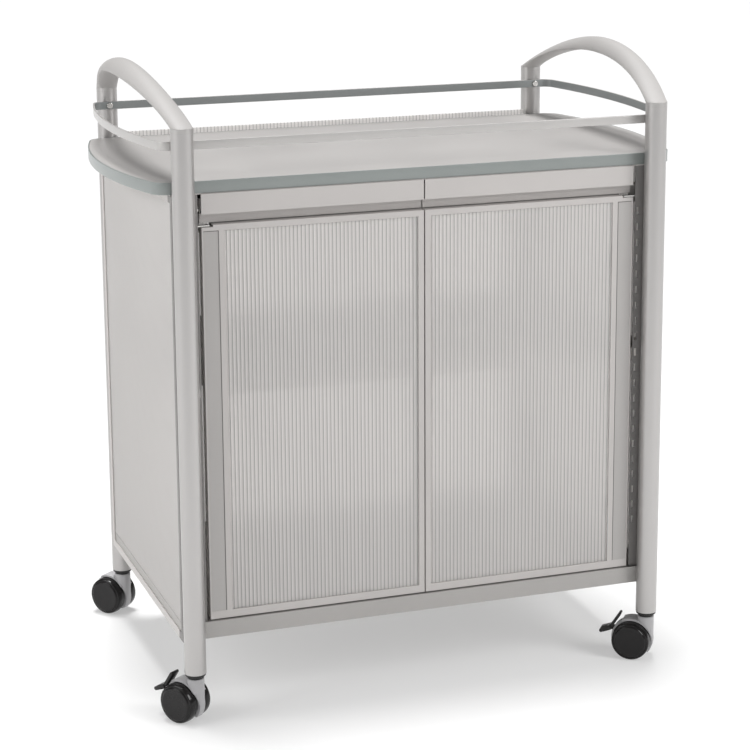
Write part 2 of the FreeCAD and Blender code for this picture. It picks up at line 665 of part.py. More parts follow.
def door_panel_clips():
    """Blocks that hold the left door's sheet forward, along both upright edges."""
    y0 = -FRONT_Y + SHEET + PANEL_T
    y1 = DOOR_BACK_Y - SHEET
    depth = DOOR_BACK_BORDER - SHEET
    edges = (
        -DOOR_FREE_X - SHEET - depth,
        -DOOR_EDGE_X + STRIP_EDGE + STRIP_W + SHEET + LOOSE,
    )
    clips = []
    for i in range(CLIP_COUNT):
        z = DOOR_BOTTOM + (DOOR_TOP - DOOR_BOTTOM) * (i + 0.5) / CLIP_COUNT
        for x in edges:
            clips.append(box(x, x + depth, y0, y1, z - CLIP_W, z + CLIP_W))
    return Part.Compound(clips)


def door_hinge_pins():
    """Left door's upper and lower hinge pins; the lower one stands on a shoulder."""
    upper_top = bracket_height() + BRACKET_T
    upper = rod(V(-PIN_X, PIN_Y, upper_top - PIN_LENGTH), Z_AXIS, PIN_D / 2, PIN_LENGTH)
    lower = rod(V(-PIN_X, PIN_Y, FLOOR_Z - SHEET), Z_AXIS, PIN_D / 2, PIN_LENGTH)
    shoulder = rod(V(-PIN_X, PIN_Y, FLOOR_Z + SLIP), Z_AXIS, PIN_D, DOOR_LIFT - SLIP)
    return Part.Compound([upper, fused(lower, shoulder)])


# ---- drawers ------------------------------------------------------------------------
def drawer_front():
    """Left drawer front: a band folded back under itself and down behind the groove."""
    x0, x1 = -DOOR_EDGE_X, -DOOR_FREE_X
    y = -FRONT_Y
    back_y = y + GROOVE_DEPTH
    band = box(x0, x1, y, y + SHEET, BAND_BOTTOM, BAND_TOP)
    under = box(x0, x1, y, back_y + SHEET, BAND_BOTTOM, BAND_BOTTOM + SHEET)
    behind = box(x0, x1, back_y, back_y + SHEET, DOOR_TOP + DOOR_GAP, BAND_BOTTOM + SHEET)
    stiffener = box(x0, x1, back_y, back_y + SHEET, BAND_BOTTOM, TRAY_TOP)
    return fused(band, under, behind, stiffener)


def drawer_tray():
    """Left drawer: a shallow sheet tray with side lips that hang on the runners."""
    x0 = -RUNNER_X + TRAY_LIP + LOOSE
    x1 = -DIVIDER_X - TRAY_LIP - LOOSE
    y0, y1 = TRAY_FRONT_Y, TRAY_BACK_Y
    tray = box(x0, x1, y0, y1, TRAY_Z, TRAY_TOP)
    hollow = box(x0 + TRAY_SHEET, x1 - TRAY_SHEET, y0 + TRAY_SHEET, y1 - TRAY_SHEET,
                 TRAY_Z + TRAY_SHEET, TRAY_TOP + OVERCUT)
    lip_z = TRAY_TOP - TRAY_SHEET
    lips = []
    for inner, outer in ((x0, -RUNNER_X + TRAY_SHEET + LOOSE),
                         (x1, -DIVIDER_X - TRAY_SHEET - LOOSE)):
        lips.append(box(inner, outer, y0 + 2 * SHEET, y1, lip_z, TRAY_TOP))
    return fused(tray.cut(hollow), *lips)


# ---- casters ------------------------------------------------------------------------
# Each caster is modelled with its stem on the Z axis and trailing towards +X, then turned.
def placed_caster(shape, name, sx, sy):
    """Turn a caster piece to its trailing direction and put it under its post."""
    turned = shape.copy()
    turned.rotate(ORIGIN, Z_AXIS, CASTER_TURN[name])
    turned.translate(V(sx * POST_X, sy * POST_Y, 0))
    return turned


def lever_pivot():
    """Axis of the brake lever, behind and above the axle."""
    angle = math.radians(LEVER_PIVOT_ANGLE)
    reach = WHEEL_R - LEVER_PIVOT_DEPTH
    return V(TRAIL + reach * math.cos(angle), 0, WHEEL_R + reach * math.sin(angle))


def across(point, half_width):
    """The point moved to one side, where a rod along +Y starts."""
    return V(point.x, -half_width, point.z)


def caster_hood(with_lever):
    """Hood between the wheels, rising to the neck that turns on the stem."""
    axle = V(TRAIL, 0, WHEEL_R)
    hood_r = WHEEL_R + HOOD_REACH
    hood = rod(across(axle, HOOD_T / 2), Y_AXIS, hood_r, HOOD_T)
    neck = rod(V(0, 0, WHEEL_R), Z_AXIS, NECK_D / 2, HOOD_TOP - WHEEL_R)
    crown_r = hood_r + HOOD_REACH / 2
    crown = rod(across(axle, NECK_D / 2), Y_AXIS, crown_r, NECK_D)
    crown = crown.common(box(-NECK_D / 2, TRAIL + WHEEL_R / 2, -NECK_D, NECK_D,
                             WHEEL_R + CROWN_BASE, HOOD_TOP))
    hood = hood.fuse([neck, crown])
    for sy in (-1, 1):
        wheel_room = rod(V(TRAIL, sy * HOOD_T / 2, WHEEL_R), V(0, sy, 0),
                         WHEEL_R + 2 * LOOSE, WHEEL_D)
        hood = hood.cut(wheel_room)
    hood = hood.cut(box(-WHEEL_D, 2 * WHEEL_D, -WHEEL_D, WHEEL_D, -WHEEL_R, WHEEL_R / 3))
    hood = hood.cut(rod(V(0, 0, HOOD_TOP - STEM_DROP), Z_AXIS, STEM_D / 2 + RUN_FIT, CASTER_H))
    hood = hood.cut(rod(across(axle, WHEEL_D), Y_AXIS, AXLE_D / 2, 2 * WHEEL_D))
    if with_lever:
        pivot = lever_pivot()
        slot = box(pivot.x - LEVER_WEB - LOOSE, 2 * WHEEL_D, -LEVER_WEB / 2 - LOOSE,
                   LEVER_WEB / 2 + LOOSE, pivot.z - LEVER_SWING, CASTER_H)
        hood = hood.cut(slot)
        hood = hood.cut(rod(across(pivot, HOOD_T), Y_AXIS, LEVER_PIN_D / 2 + RUN_FIT, 2 * HOOD_T))
    return hood.removeSplitter()


def caster_axle():
    """Steel axle through the hood and both wheels."""
    half = WHEEL_GAP / 2 + AXLE_SHARE * WHEEL_W
    return rod(V(TRAIL, -half, WHEEL_R), Y_AXIS, AXLE_D / 2, 2 * half)


def caster_wheel(outer_side):
    """Wheel with a rounded tread and a stepped disc on its closed outer face."""
    tread = rod(ORIGIN, Y_AXIS, WHEEL_R, WHEEL_W - DISC_STEP)
    tread = tread.makeChamfer(TREAD_BEVEL, rim(tread, ORIGIN))
    tread = tread.makeChamfer(TREAD_BEVEL, rim(tread, Y_AXIS * (WHEEL_W - DISC_STEP)))
    disc = rod(ORIGIN, Y_AXIS, DISC_D / 2, WHEEL_W)
    disc = disc.makeChamfer(DISC_STEP - SLIP, rim(disc, Y_AXIS * WHEEL_W))
    bore = rod(V(0, -OVERCUT, 0), Y_AXIS, AXLE_D / 2 + RUN_FIT,
               AXLE_SHARE * WHEEL_W + LOOSE + OVERCUT)
    wheel = fused(tread, disc).cut(bore)
    if not outer_side:
        wheel = wheel.mirror(ORIGIN, Y_AXIS)
    side = 1 if outer_side else -1
    wheel.translate(V(TRAIL, side * WHEEL_GAP / 2, WHEEL_R))
    return wheel


def brake_lever():
    """Rocker with a foot pad to press down and a prong to press it free."""
    pivot = lever_pivot()
    hub = rod(across(pivot, LEVER_WEB / 2), Y_AXIS, LEVER_HUB_D / 2, LEVER_WEB)
    trunnion = rod(across(pivot, HOOD_T / 2), Y_AXIS, LEVER_PIN_D / 2, HOOD_T)
    bend = pivot + V(LEVER_BEND, 0, LEVER_BEND_RISE)
    pad_tip = pivot + V(LEVER_PAD, 0, -LEVER_PAD_DROP)
    prong_tip = pivot + V(-LEVER_PRONG_LEAN, 0, LEVER_PRONG)
    web = bar(pivot, bend, LEVER_ARM_T, LEVER_WEB)
    pad = bar(bend, pad_tip, LEVER_PAD_T, LEVER_W)
    prong = bar(bend, prong_tip, LEVER_PRONG_T, LEVER_PRONG_W)
    return fused(hub, trunnion, web, pad, prong)


def bar(start, end, thickness, width):
    """Flat bar with round ends between two points of the XZ plane."""
    along = end - start
    length = along.Length
    slab = Part.makeBox(length, width, thickness, V(0, -width / 2, -thickness / 2))
    slab = slab.fuse([rod(V(0, -width / 2, 0), Y_AXIS, thickness / 2, width),
                      rod(V(length, -width / 2, 0), Y_AXIS, thickness / 2, width)])
    slab.rotate(ORIGIN, Y_AXIS, -math.degrees(math.atan2(along.z, along.x)))
    slab.translate(start)
    return slab.removeSplitter()


def caster_collars():
    """Bearing rings between the posts and the hoods."""
    rings = []
    for _, sx, sy in corners():
        z0 = CASTER_H - COLLAR_H
        low = tube(V(sx * POST_X, sy * POST_Y, z0), Z_AXIS, COLLAR_FOOT_D / 2, STEM_D / 2,
                   COLLAR_H)
        high = tube(V(sx * POST_X, sy * POST_Y, z0 + COLLAR_H / 2), Z_AXIS, COLLAR_D / 2,
                    STEM_D / 2, COLLAR_H / 2)
        rings.append(fused(low, high))
    return Part.Compound(rings)


def caster_stems():
    """Steel stems fixed in the posts, on which the hoods turn."""
    z0 = HOOD_TOP - STEM_DROP + LOOSE
    length = CASTER_H + STEM_RISE - z0
    return Part.Compound([rod(V(sx * POST_X, sy * POST_Y, z0), Z_AXIS, STEM_D / 2, length)
                          for _, sx, sy in corners()])


def caster_sockets():
    """Plugs in the feet of the posts that hold the stems."""
    return Part.Compound([
        tube(V(sx * POST_X, sy * POST_Y, CASTER_H), Z_AXIS, POST_R - POST_WALL, STEM_D / 2,
             STEM_RISE)
        for _, sx, sy in corners()
    ])


# ---- build --------------------------------------------------------------------------
def build():
    """Write every sub-part."""
    os.makedirs("parts", exist_ok=True)
    for name, sx, sy in corners():
        save(post(sx, sy), name + "_post")
        save(placed_caster(caster_hood(sy < 0), name, sx, sy), name + "_caster_hood")
        save(placed_caster(caster_axle(), name, sx, sy), name + "_caster_axle")
        save(placed_caster(caster_wheel(True), name, sx, sy), name + "_outer_wheel")
        save(placed_caster(caster_wheel(False), name, sx, sy), name + "_inner_wheel")
        if sy < 0:
            save(placed_caster(brake_lever(), name, sx, sy), name + "_brake_lever")
    for side, sx in (("left", -1), ("right", 1)):
        save(handle_arch(sx), side + "_handle_arch")
        save(handed(side, side_frame()), side + "_side_frame")
        save(handed(side, side_panel()), side + "_side_panel")
        save(handed(side, door_frame()), side + "_door_frame")
        save(handed(side, door_strip()), side + "_door_strip")
        save(handed(side, door_panel()), side + "_door_panel")
        save(handed(side, door_panel_clips()), side + "_door_panel_clips")
        save(handed(side, door_hinge_pins()), side + "_door_hinge_pins")
        save(handed(side, drawer_front()), side + "_drawer_front")
        save(handed(side, drawer_tray()), side + "_drawer_tray")
    singles = (worktop_board, worktop_edge_band, guard_rail, guard_rail_screws, top_frame,
               bottom_pan, back_panel, panel_rivets, frame_bolts, adjustable_shelf,
               shelf_clips, drawer_support, drawer_fixed_runners, door_catches,
               hinge_brackets, caster_collars, caster_stems, caster_sockets)
    for make in singles:
        save(make(), make.__name__)


build()
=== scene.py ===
"""Mobile printer stand with doors, drawers, guard rail and arched push handles, dressed on
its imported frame. Metres, origin on the floor under the middle of the posts, +Z up."""
import json
import logging
import math
from dataclasses import dataclass, field
from enum import Enum
from typing import Iterable, Protocol, Sequence

import bmesh
import bpy
import numpy as np
from mathutils import Matrix, Vector


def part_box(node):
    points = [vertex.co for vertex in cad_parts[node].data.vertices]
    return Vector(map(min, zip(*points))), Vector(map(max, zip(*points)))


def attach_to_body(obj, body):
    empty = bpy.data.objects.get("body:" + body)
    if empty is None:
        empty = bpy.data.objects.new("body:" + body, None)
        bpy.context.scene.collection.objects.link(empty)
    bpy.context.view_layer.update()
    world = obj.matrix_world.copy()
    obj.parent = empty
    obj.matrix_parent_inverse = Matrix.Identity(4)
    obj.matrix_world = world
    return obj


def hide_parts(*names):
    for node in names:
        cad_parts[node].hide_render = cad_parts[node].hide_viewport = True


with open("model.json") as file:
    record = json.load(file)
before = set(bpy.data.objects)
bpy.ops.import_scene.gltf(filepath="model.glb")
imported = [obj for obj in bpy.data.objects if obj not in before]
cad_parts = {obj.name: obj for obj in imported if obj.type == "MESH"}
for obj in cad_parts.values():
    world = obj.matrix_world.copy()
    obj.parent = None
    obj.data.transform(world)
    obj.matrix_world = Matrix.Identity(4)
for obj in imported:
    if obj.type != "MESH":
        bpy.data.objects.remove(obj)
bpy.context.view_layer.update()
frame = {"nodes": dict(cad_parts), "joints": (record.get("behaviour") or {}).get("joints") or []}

LOG = logging.getLogger("printer_stand")

Rows = np.ndarray
Colour = tuple[float, float, float]
Point = tuple[float, float, float]


class Side(Enum):
    """Hand of a piece, with the sign of its X."""

    LEFT = -1
    RIGHT = 1

    @property
    def word(self) -> str:
        """Name of the side as the frame spells it."""
        return self.name.lower()


class End(Enum):
    """Front or rear post, with the sign of its Y."""

    FRONT = -1
    REAR = 1

    @property
    def word(self) -> str:
        """Name of the end as the frame spells it."""
        return self.name.lower()


class Flow(Enum):
    """Direction that the flutes of a translucent sheet count along."""

    ACROSS = 0
    DEPTH = 1


# ---- surfaces -----------------------------------------------------------------------
def unit(vector: Sequence[float]) -> Rows:
    """A vector divided by its length."""
    rows = np.asarray(vector, float)
    return rows / np.linalg.norm(rows)


def rounded_rectangle(width: float, height: float, radius: float, steps: int = 5) -> Rows:
    """Outline of a rectangle with round corners, anticlockwise and centred on the origin.

    Formula: each corner is a quarter circle about the point one radius in from both sides.

    Args:
        width: Size along the first axis.
        height: Size along the second axis.
        radius: Corner radius.
        steps: Segments in each corner.

    Returns:
        Points of the closed outline, one row each.
    """
    quarter = np.linspace(0.0, math.pi / 2, steps + 1)
    angles = (np.arange(4)[:, None] * math.pi / 2 + quarter).ravel()
    signs = np.array([(1, 1), (-1, 1), (-1, -1), (1, -1)], float)
    centres = signs * (width / 2 - radius, height / 2 - radius)
    return np.repeat(centres, steps + 1, axis=0) + radius * np.c_[np.cos(angles), np.sin(angles)]


def plan_outline(tip: float, half_depth: float, bow: float, corner: float,
                 steps: int = 48, corner_steps: int = 12) -> tuple[Rows, Rows]:
    """Plan of a board with straight long sides, bowed ends and rounded corners.

    Formula: each end is an arc of radius (depth^2 + bow^2) / (2 bow), and each corner an arc
    that touches the end arc from inside and the long side.

    Args:
        tip: Half the overall length.
        half_depth: Half the depth.
        bow: How far the ends bulge past the corners.
        corner: Corner radius.
        steps: Segments in each end arc.
        corner_steps: Segments in each corner.

    Returns:
        Points of the outline and their outward normals, anticlockwise.
    """
    end_radius = (half_depth**2 + bow**2) / (2 * bow)
    end_x = tip - end_radius
    corner_y = half_depth - corner
    corner_x = end_x + math.sqrt((end_radius - corner) ** 2 - corner_y**2)
    beta = math.atan2(corner_y, corner_x - end_x)
    quarter = math.pi / 2
    arcs = (
        (end_x, 0.0, end_radius, -beta, beta, steps),
        (corner_x, corner_y, corner, beta, quarter, corner_steps),
        (-corner_x, corner_y, corner, quarter, 2 * quarter - beta, corner_steps),
        (-end_x, 0.0, end_radius, 2 * quarter - beta, 2 * quarter + beta, steps),
        (-corner_x, -corner_y, corner, 2 * quarter + beta, 3 * quarter, corner_steps),
        (corner_x, -corner_y, corner, 3 * quarter, 4 * quarter - beta, corner_steps),
    )
    points, normals = [], []
    for index, (x, y, radius, start, stop, count) in enumerate(arcs):
        keep_last = arcs[(index + 1) % len(arcs)][0] != x
        angles = np.linspace(start, stop, count + 1)[: None if keep_last and abs(y) > 0 else -1]
        ring = np.c_[np.cos(angles), np.sin(angles)]
        points.append(ring * radius + (x, y))
        normals.append(ring)
    return np.vstack(points), np.vstack(normals)


class Shell:
    """Closed surface gathered from grids of points and their end caps."""

    def __init__(self) -> None:
        """Starts with no points and no faces."""
        self.points: list[Rows] = []
        self.faces: list[Rows] = []
        self.count = 0

    def _store(self, points: Rows) -> int:
        """Adds points.

        Args:
            points: Points on a grid of any shape.

        Returns:
            Number of the first one.
        """
        first = self.count
        self.points.append(points.reshape(-1, 3))
        self.count += len(self.points[-1])
        return first

    def grid(self, points: Rows, ring: bool = True, loop: bool = False) -> "Shell":
        """Adds quads between neighbours of a grid of points.

        Args:
            points: Array of rows x columns x 3.
            ring: Whether the last column joins the first.
            loop: Whether the last row joins the first.

        Returns:
            The shell itself. Open ends of a ring are capped with a fan about their middle.
        """
        rows, columns = points.shape[:2]
        first = self._store(points)
        u, v = np.meshgrid(np.arange(rows if loop else rows - 1),
                           np.arange(columns if ring else columns - 1), indexing="ij")
        u2, v2 = (u + 1) % rows, (v + 1) % columns
        corners = (u * columns + v, u2 * columns + v, u2 * columns + v2, u * columns + v2)
        self.faces.append(np.stack(corners, -1).reshape(-1, 4) + first)
        if ring and not loop:
            self._cap(first + np.arange(columns), points[0], False)
            self._cap(first + (rows - 1) * columns + np.arange(columns), points[-1], True)
        return self

    def _cap(self, ring: Rows, points: Rows, last: bool) -> None:
        """Closes one end with a fan of triangles about the middle of its ring.

        Args:
            ring: Numbers of the ring's points.
            points: The ring's points.
            last: Whether it is the far end, whose fan faces the other way.
        """
        centre = self._store(points.mean(axis=0))
        after = np.roll(ring, -1)
        fan = np.stack((np.full(len(ring), centre), ring, after), -1)
        self.faces.append(fan[:, ::-1] if last else fan)

    def build(self, name: str, crease: float = 35.0) -> bpy.types.Object:
        """Makes the mesh object, facing outwards.

        Args:
            name: Object name.
            crease: Edges sharper than this many degrees stay sharp.

        Returns:
            The new object, at the origin.
        """
        points = np.vstack(self.points)
        volume = 0.0
        for faces in self.faces:
            for k in range(1, faces.shape[1] - 1):
                a, b, c = points[faces[:, 0]], points[faces[:, k]], points[faces[:, k + 1]]
                volume += float((a * np.cross(b, c)).sum())
        if volume < 0:
            self.faces = [faces[:, ::-1] for faces in self.faces]
        mesh = bpy.data.meshes.new(name)
        listed = [row for faces in self.faces for row in faces.tolist()]
        mesh.from_pydata(points.tolist(), [], listed)
        mesh.polygons.foreach_set("use_smooth", [True] * len(mesh.polygons))
        mesh.set_sharp_from_angle(angle=math.radians(crease))
        mesh.validate()
        made = bpy.data.objects.new(name, mesh)
        bpy.context.scene.collection.objects.link(made)
        return made


def lathe(profile: Rows, start: Sequence[float], axis: Sequence[float],
          segments: int = 64) -> Rows:
    """Grid of a turned surface.

    Formula: start + distance along the axis + radius x (cos, sin) of the turning angle.

    Args:
        profile: Rows of distance along the axis and radius.
        start: Where the distance is zero.
        axis: Direction of the axis.
        segments: Steps round.

    Returns:
        Grid of points, one row for each row of the profile.
    """
    along = unit(axis)
    helper = (0.0, 0.0, 1.0) if abs(along[2]) < 0.9 else (1.0, 0.0, 0.0)
    side = unit(np.cross(along, helper))
    other = np.cross(along, side)
    angles = np.linspace(0.0, 2 * math.pi, segments, endpoint=False)
    spokes = np.cos(angles)[:, None] * side + np.sin(angles)[:, None] * other
    centres = np.asarray(start, float) + profile[:, :1] * along
    return centres[:, None] + profile[:, 1][:, None, None] * spokes[None]


def rounded_profile(rows: Sequence[tuple[float, float, float]], steps: int = 4) -> Rows:
    """Profile line with rounded corners.

    Formula: each corner is replaced by a curve that blends from one side to the other with
    the weights (1 - t)^2, 2 t (1 - t) and t^2.

    Args:
        rows: Distance, radius and rounding of each corner.
        steps: Segments in each rounded corner.

    Returns:
        Rows of distance and radius.
    """
    corners = np.array(rows, float)
    line = [corners[0, :2]]
    for before, here, after in zip(corners[:-2], corners[1:-1], corners[2:]):
        if here[2] <= 0:
            line.append(here[:2])
            continue
        away = unit(before[:2] - here[:2]) * here[2]
        onward = unit(after[:2] - here[:2]) * here[2]
        t = np.linspace(0.0, 1.0, steps + 1)[:, None]
        line.extend(here[:2] + (1 - t) ** 2 * away + t**2 * onward)
    line.append(corners[-1, :2])
    return np.vstack(line)


def carried(outline: Rows, normals: Rows, profile: Rows) -> Rows:
    """Grid of a profile carried round a plan outline.

    Formula: outline point + profile's first value x outward normal, at the height of the
    profile's second value.

    Args:
        outline: Plan points.
        normals: Outward normals at those points.
        profile: Rows of outward distance and height.

    Returns:
        Grid of points, one row for each outline point.
    """
    plan = outline[:, None] + profile[None, :, :1] * normals[:, None]
    height = np.broadcast_to(profile[None, :, 1:], plan.shape[:2] + (1,))
    return np.concatenate((plan, height), axis=2)


# ---- shared node groups -------------------------------------------------------------
class Effect:
    """A shader node group that several finishes share."""

    def __init__(self, name: str, inputs: dict[str, float], outputs: Iterable[str]) -> None:
        """Makes the group with a vector input, number inputs and number outputs.

        Args:
            name: Name of the group.
            inputs: Number sockets and their defaults.
            outputs: Names of the number outputs.
        """
        self.tree = bpy.data.node_groups.new(name, "ShaderNodeTree")
        make = self.tree.interface.new_socket
        make(name="Vector", in_out="INPUT", socket_type="NodeSocketVector")
        for label, value in inputs.items():
            make(name=label, in_out="INPUT", socket_type="NodeSocketFloat").default_value = value
        for label in outputs:
            make(name=label, in_out="OUTPUT", socket_type="NodeSocketFloat")
        self.start = self.tree.nodes.new("NodeGroupInput")
        self.end = self.tree.nodes.new("NodeGroupOutput")

    def join(self, source: bpy.types.NodeSocket, target: bpy.types.NodeSocket) -> None:
        """Links two sockets of the group."""
        self.tree.links.new(source, target)

    def math(self, operation: str, *values: object) -> bpy.types.NodeSocket:
        """Adds a math node.

        Args:
            operation: What the node does.
            values: A number or a socket for each input.

        Returns:
            The node's output.
        """
        node = self.tree.nodes.new("ShaderNodeMath")
        node.operation = operation
        for socket, value in zip(node.inputs, values):
            if isinstance(value, (int, float)):
                socket.default_value = value
            else:
                self.join(value, socket)
        return node.outputs[0]

    def noise(self, scale: object, detail: float, rough: float) -> bpy.types.NodeSocket:
        """Adds a noise texture on the group's vector.

        Args:
            scale: A number or a socket.
            detail: How many finer layers are added.
            rough: How strong the finer layers are.

        Returns:
            The noise's factor.
        """
        node = self.tree.nodes.new("ShaderNodeTexNoise")
        node.inputs["Detail"].default_value = detail
        node.inputs["Roughness"].default_value = rough
        if isinstance(scale, (int, float)):
            node.inputs["Scale"].default_value = scale
        else:
            self.join(scale, node.inputs["Scale"])
        self.join(self.start.outputs["Vector"], node.inputs["Vector"])
        return node.outputs["Fac"]


def make_grain() -> bpy.types.NodeTree:
    """Fine paint or laminate grain with broad, faint unevenness.

    Returns:
        Group with Height, Tone and Broad outputs.
    """
    fine_share = 0.55
    effect = Effect("fine_grain", {"Scale": 900.0, "Broad Scale": 7.0}, ("Height", "Tone", "Broad"))
    fine = effect.noise(effect.start.outputs["Scale"], detail=3.0, rough=0.6)
    broad = effect.noise(effect.start.outputs["Broad Scale"], detail=3.0, rough=0.5)
    mixed = effect.math("MULTIPLY_ADD", fine, fine_share,
                        effect.math("MULTIPLY", broad, 1.0 - fine_share))
    effect.join(fine, effect.end.inputs["Height"])
    effect.join(mixed, effect.end.inputs["Tone"])
    effect.join(broad, effect.end.inputs["Broad"])
    return effect.tree


def make_dust() -> bpy.types.NodeTree:
    """Faint film of dust: patchy, and stronger towards the floor.

    Returns:
        Group with a Mask output.
    """
    everywhere = 0.25
    effect = Effect("settled_dust", {"Amount": 0.3, "Reach": 0.25}, ("Mask",))
    split = effect.tree.nodes.new("ShaderNodeSeparateXYZ")
    effect.join(effect.start.outputs["Vector"], split.inputs[0])
    height = effect.math("DIVIDE", split.outputs["Z"], effect.start.outputs["Reach"])
    low = effect.math("SUBTRACT", 1.0, height)
    low.node.use_clamp = True
    patch = effect.noise(38.0, detail=4.0, rough=0.65)
    mask = effect.math("MULTIPLY", effect.math("ADD", low, everywhere), patch)
    effect.join(effect.math("MULTIPLY", mask, effect.start.outputs["Amount"]),
                effect.end.inputs["Mask"])
    return effect.tree


def make_flutes() -> bpy.types.NodeTree:
    """Upright ribs of twin-wall sheet: a narrow dark web between clear channels.

    Returns:
        Group with Rib and Channel outputs, counted along the vector's X.
    """
    effect = Effect("sheet_flutes", {"Pitch": 0.006, "Web": 0.22}, ("Rib", "Channel"))
    split = effect.tree.nodes.new("ShaderNodeSeparateXYZ")
    effect.join(effect.start.outputs["Vector"], split.inputs[0])
    turns = effect.math("DIVIDE", split.outputs["X"], effect.start.outputs["Pitch"])
    wave = effect.math("COSINE", effect.math("MULTIPLY", turns, 2 * math.pi))
    level = effect.math("MULTIPLY_ADD", wave, 0.5, 0.5)
    edge = effect.math("SUBTRACT", level, effect.math("SUBTRACT", 1.0, effect.start.outputs["Web"]))
    rib = effect.math("DIVIDE", edge, effect.start.outputs["Web"])
    rib.node.use_clamp = True
    effect.join(rib, effect.end.inputs["Rib"])
    effect.join(level, effect.end.inputs["Channel"])
    return effect.tree


@dataclass(frozen=True)
class Effects:
    """The shared node groups."""

    grain: bpy.types.NodeTree
    dust: bpy.types.NodeTree
    flutes: bpy.types.NodeTree

    @classmethod
    def make(cls) -> "Effects":
        """Builds each group once."""
        return cls(make_grain(), make_dust(), make_flutes())


# ---- finishes -----------------------------------------------------------------------
class Wiring:
    """Node tree of one material, with short calls to add and link nodes."""

    def __init__(self, name: str) -> None:
        """Makes the material with a Principled shader and object coordinates.

        Args:
            name: Name of the material.
        """
        self.material = bpy.data.materials.new(name)
        self.material.use_nodes = True
        self.tree = self.material.node_tree
        self.shader = self.tree.nodes["Principled BSDF"]
        self.place = self.tree.nodes.new("ShaderNodeTexCoord").outputs["Object"]

    def set(self, **values: object) -> None:
        """Sets shader sockets; underscores stand for spaces."""
        for label, value in values.items():
            self.shader.inputs[label.replace("_", " ")].default_value = value

    def join(self, source: bpy.types.NodeSocket, target: bpy.types.NodeSocket) -> None:
        """Links two sockets."""
        self.tree.links.new(source, target)

    def scaled(self, scale: Sequence[float], turn: float = 0.0) -> bpy.types.NodeSocket:
        """Object coordinates through a Mapping node.

        Args:
            scale: Scale on each axis.
            turn: Turn about Z in radians.

        Returns:
            The mapped vector.
        """
        node = self.tree.nodes.new("ShaderNodeMapping")
        node.inputs["Scale"].default_value = scale
        node.inputs["Rotation"].default_value = (0.0, 0.0, turn)
        self.join(self.place, node.inputs["Vector"])
        return node.outputs[0]

    def group(self, tree: bpy.types.NodeTree, vector: bpy.types.NodeSocket,
              **values: float) -> bpy.types.Node:
        """Adds a shared group with its own values.

        Args:
            tree: The group.
            vector: Coordinates that it reads.
            values: Its number inputs; underscores stand for spaces.

        Returns:
            The group's node.
        """
        node = self.tree.nodes.new("ShaderNodeGroup")
        node.node_tree = tree
        self.join(vector, node.inputs["Vector"])
        for label, value in values.items():
            node.inputs[label.replace("_", " ")].default_value = value
        return node

    def mix(self, factor: bpy.types.NodeSocket, low: object, high: object) -> bpy.types.NodeSocket:
        """Blends two colours.

        Args:
            factor: From 0, all low, to 1, all high.
            low: A colour or a socket.
            high: A colour or a socket.

        Returns:
            The blended colour.
        """
        node = self.tree.nodes.new("ShaderNodeMix")
        node.data_type = "RGBA"
        self.join(factor, node.inputs[0])
        for socket, value in ((node.inputs[6], low), (node.inputs[7], high)):
            if isinstance(value, tuple):
                socket.default_value = (*value, 1.0)
            else:
                self.join(value, socket)
        return node.outputs[2]

    def spread(self, factor: bpy.types.NodeSocket, low: float, high: float,
               source: tuple[float, float] = (0.3, 0.7)) -> bpy.types.NodeSocket:
        """Maps a factor from one span to another.

        Args:
            factor: Socket to map.
            low: Value at the start of the source span.
            high: Value at its end.
            source: The source span.

        Returns:
            The mapped value.
        """
        node = self.tree.nodes.new("ShaderNodeMapRange")
        node.inputs["From Min"].default_value = source[0]
        node.inputs["From Max"].default_value = source[1]
        node.inputs["To Min"].default_value = low
        node.inputs["To Max"].default_value = high
        self.join(factor, node.inputs["Value"])
        return node.outputs[0]

    def bump(self, height: bpy.types.NodeSocket, strength: float, distance: float) -> None:
        """Feeds the shader's normal from a height.

        Args:
            height: Socket with the height.
            strength: How much of the slope shows.
            distance: Height of the bumps in metres.
        """
        node = self.tree.nodes.new("ShaderNodeBump")
        node.inputs["Strength"].default_value = strength
        node.inputs["Distance"].default_value = distance
        self.join(height, node.inputs["Height"])
        self.join(node.outputs[0], self.shader.inputs["Normal"])


DUST_COLOUR: Colour = (0.42, 0.4, 0.37)


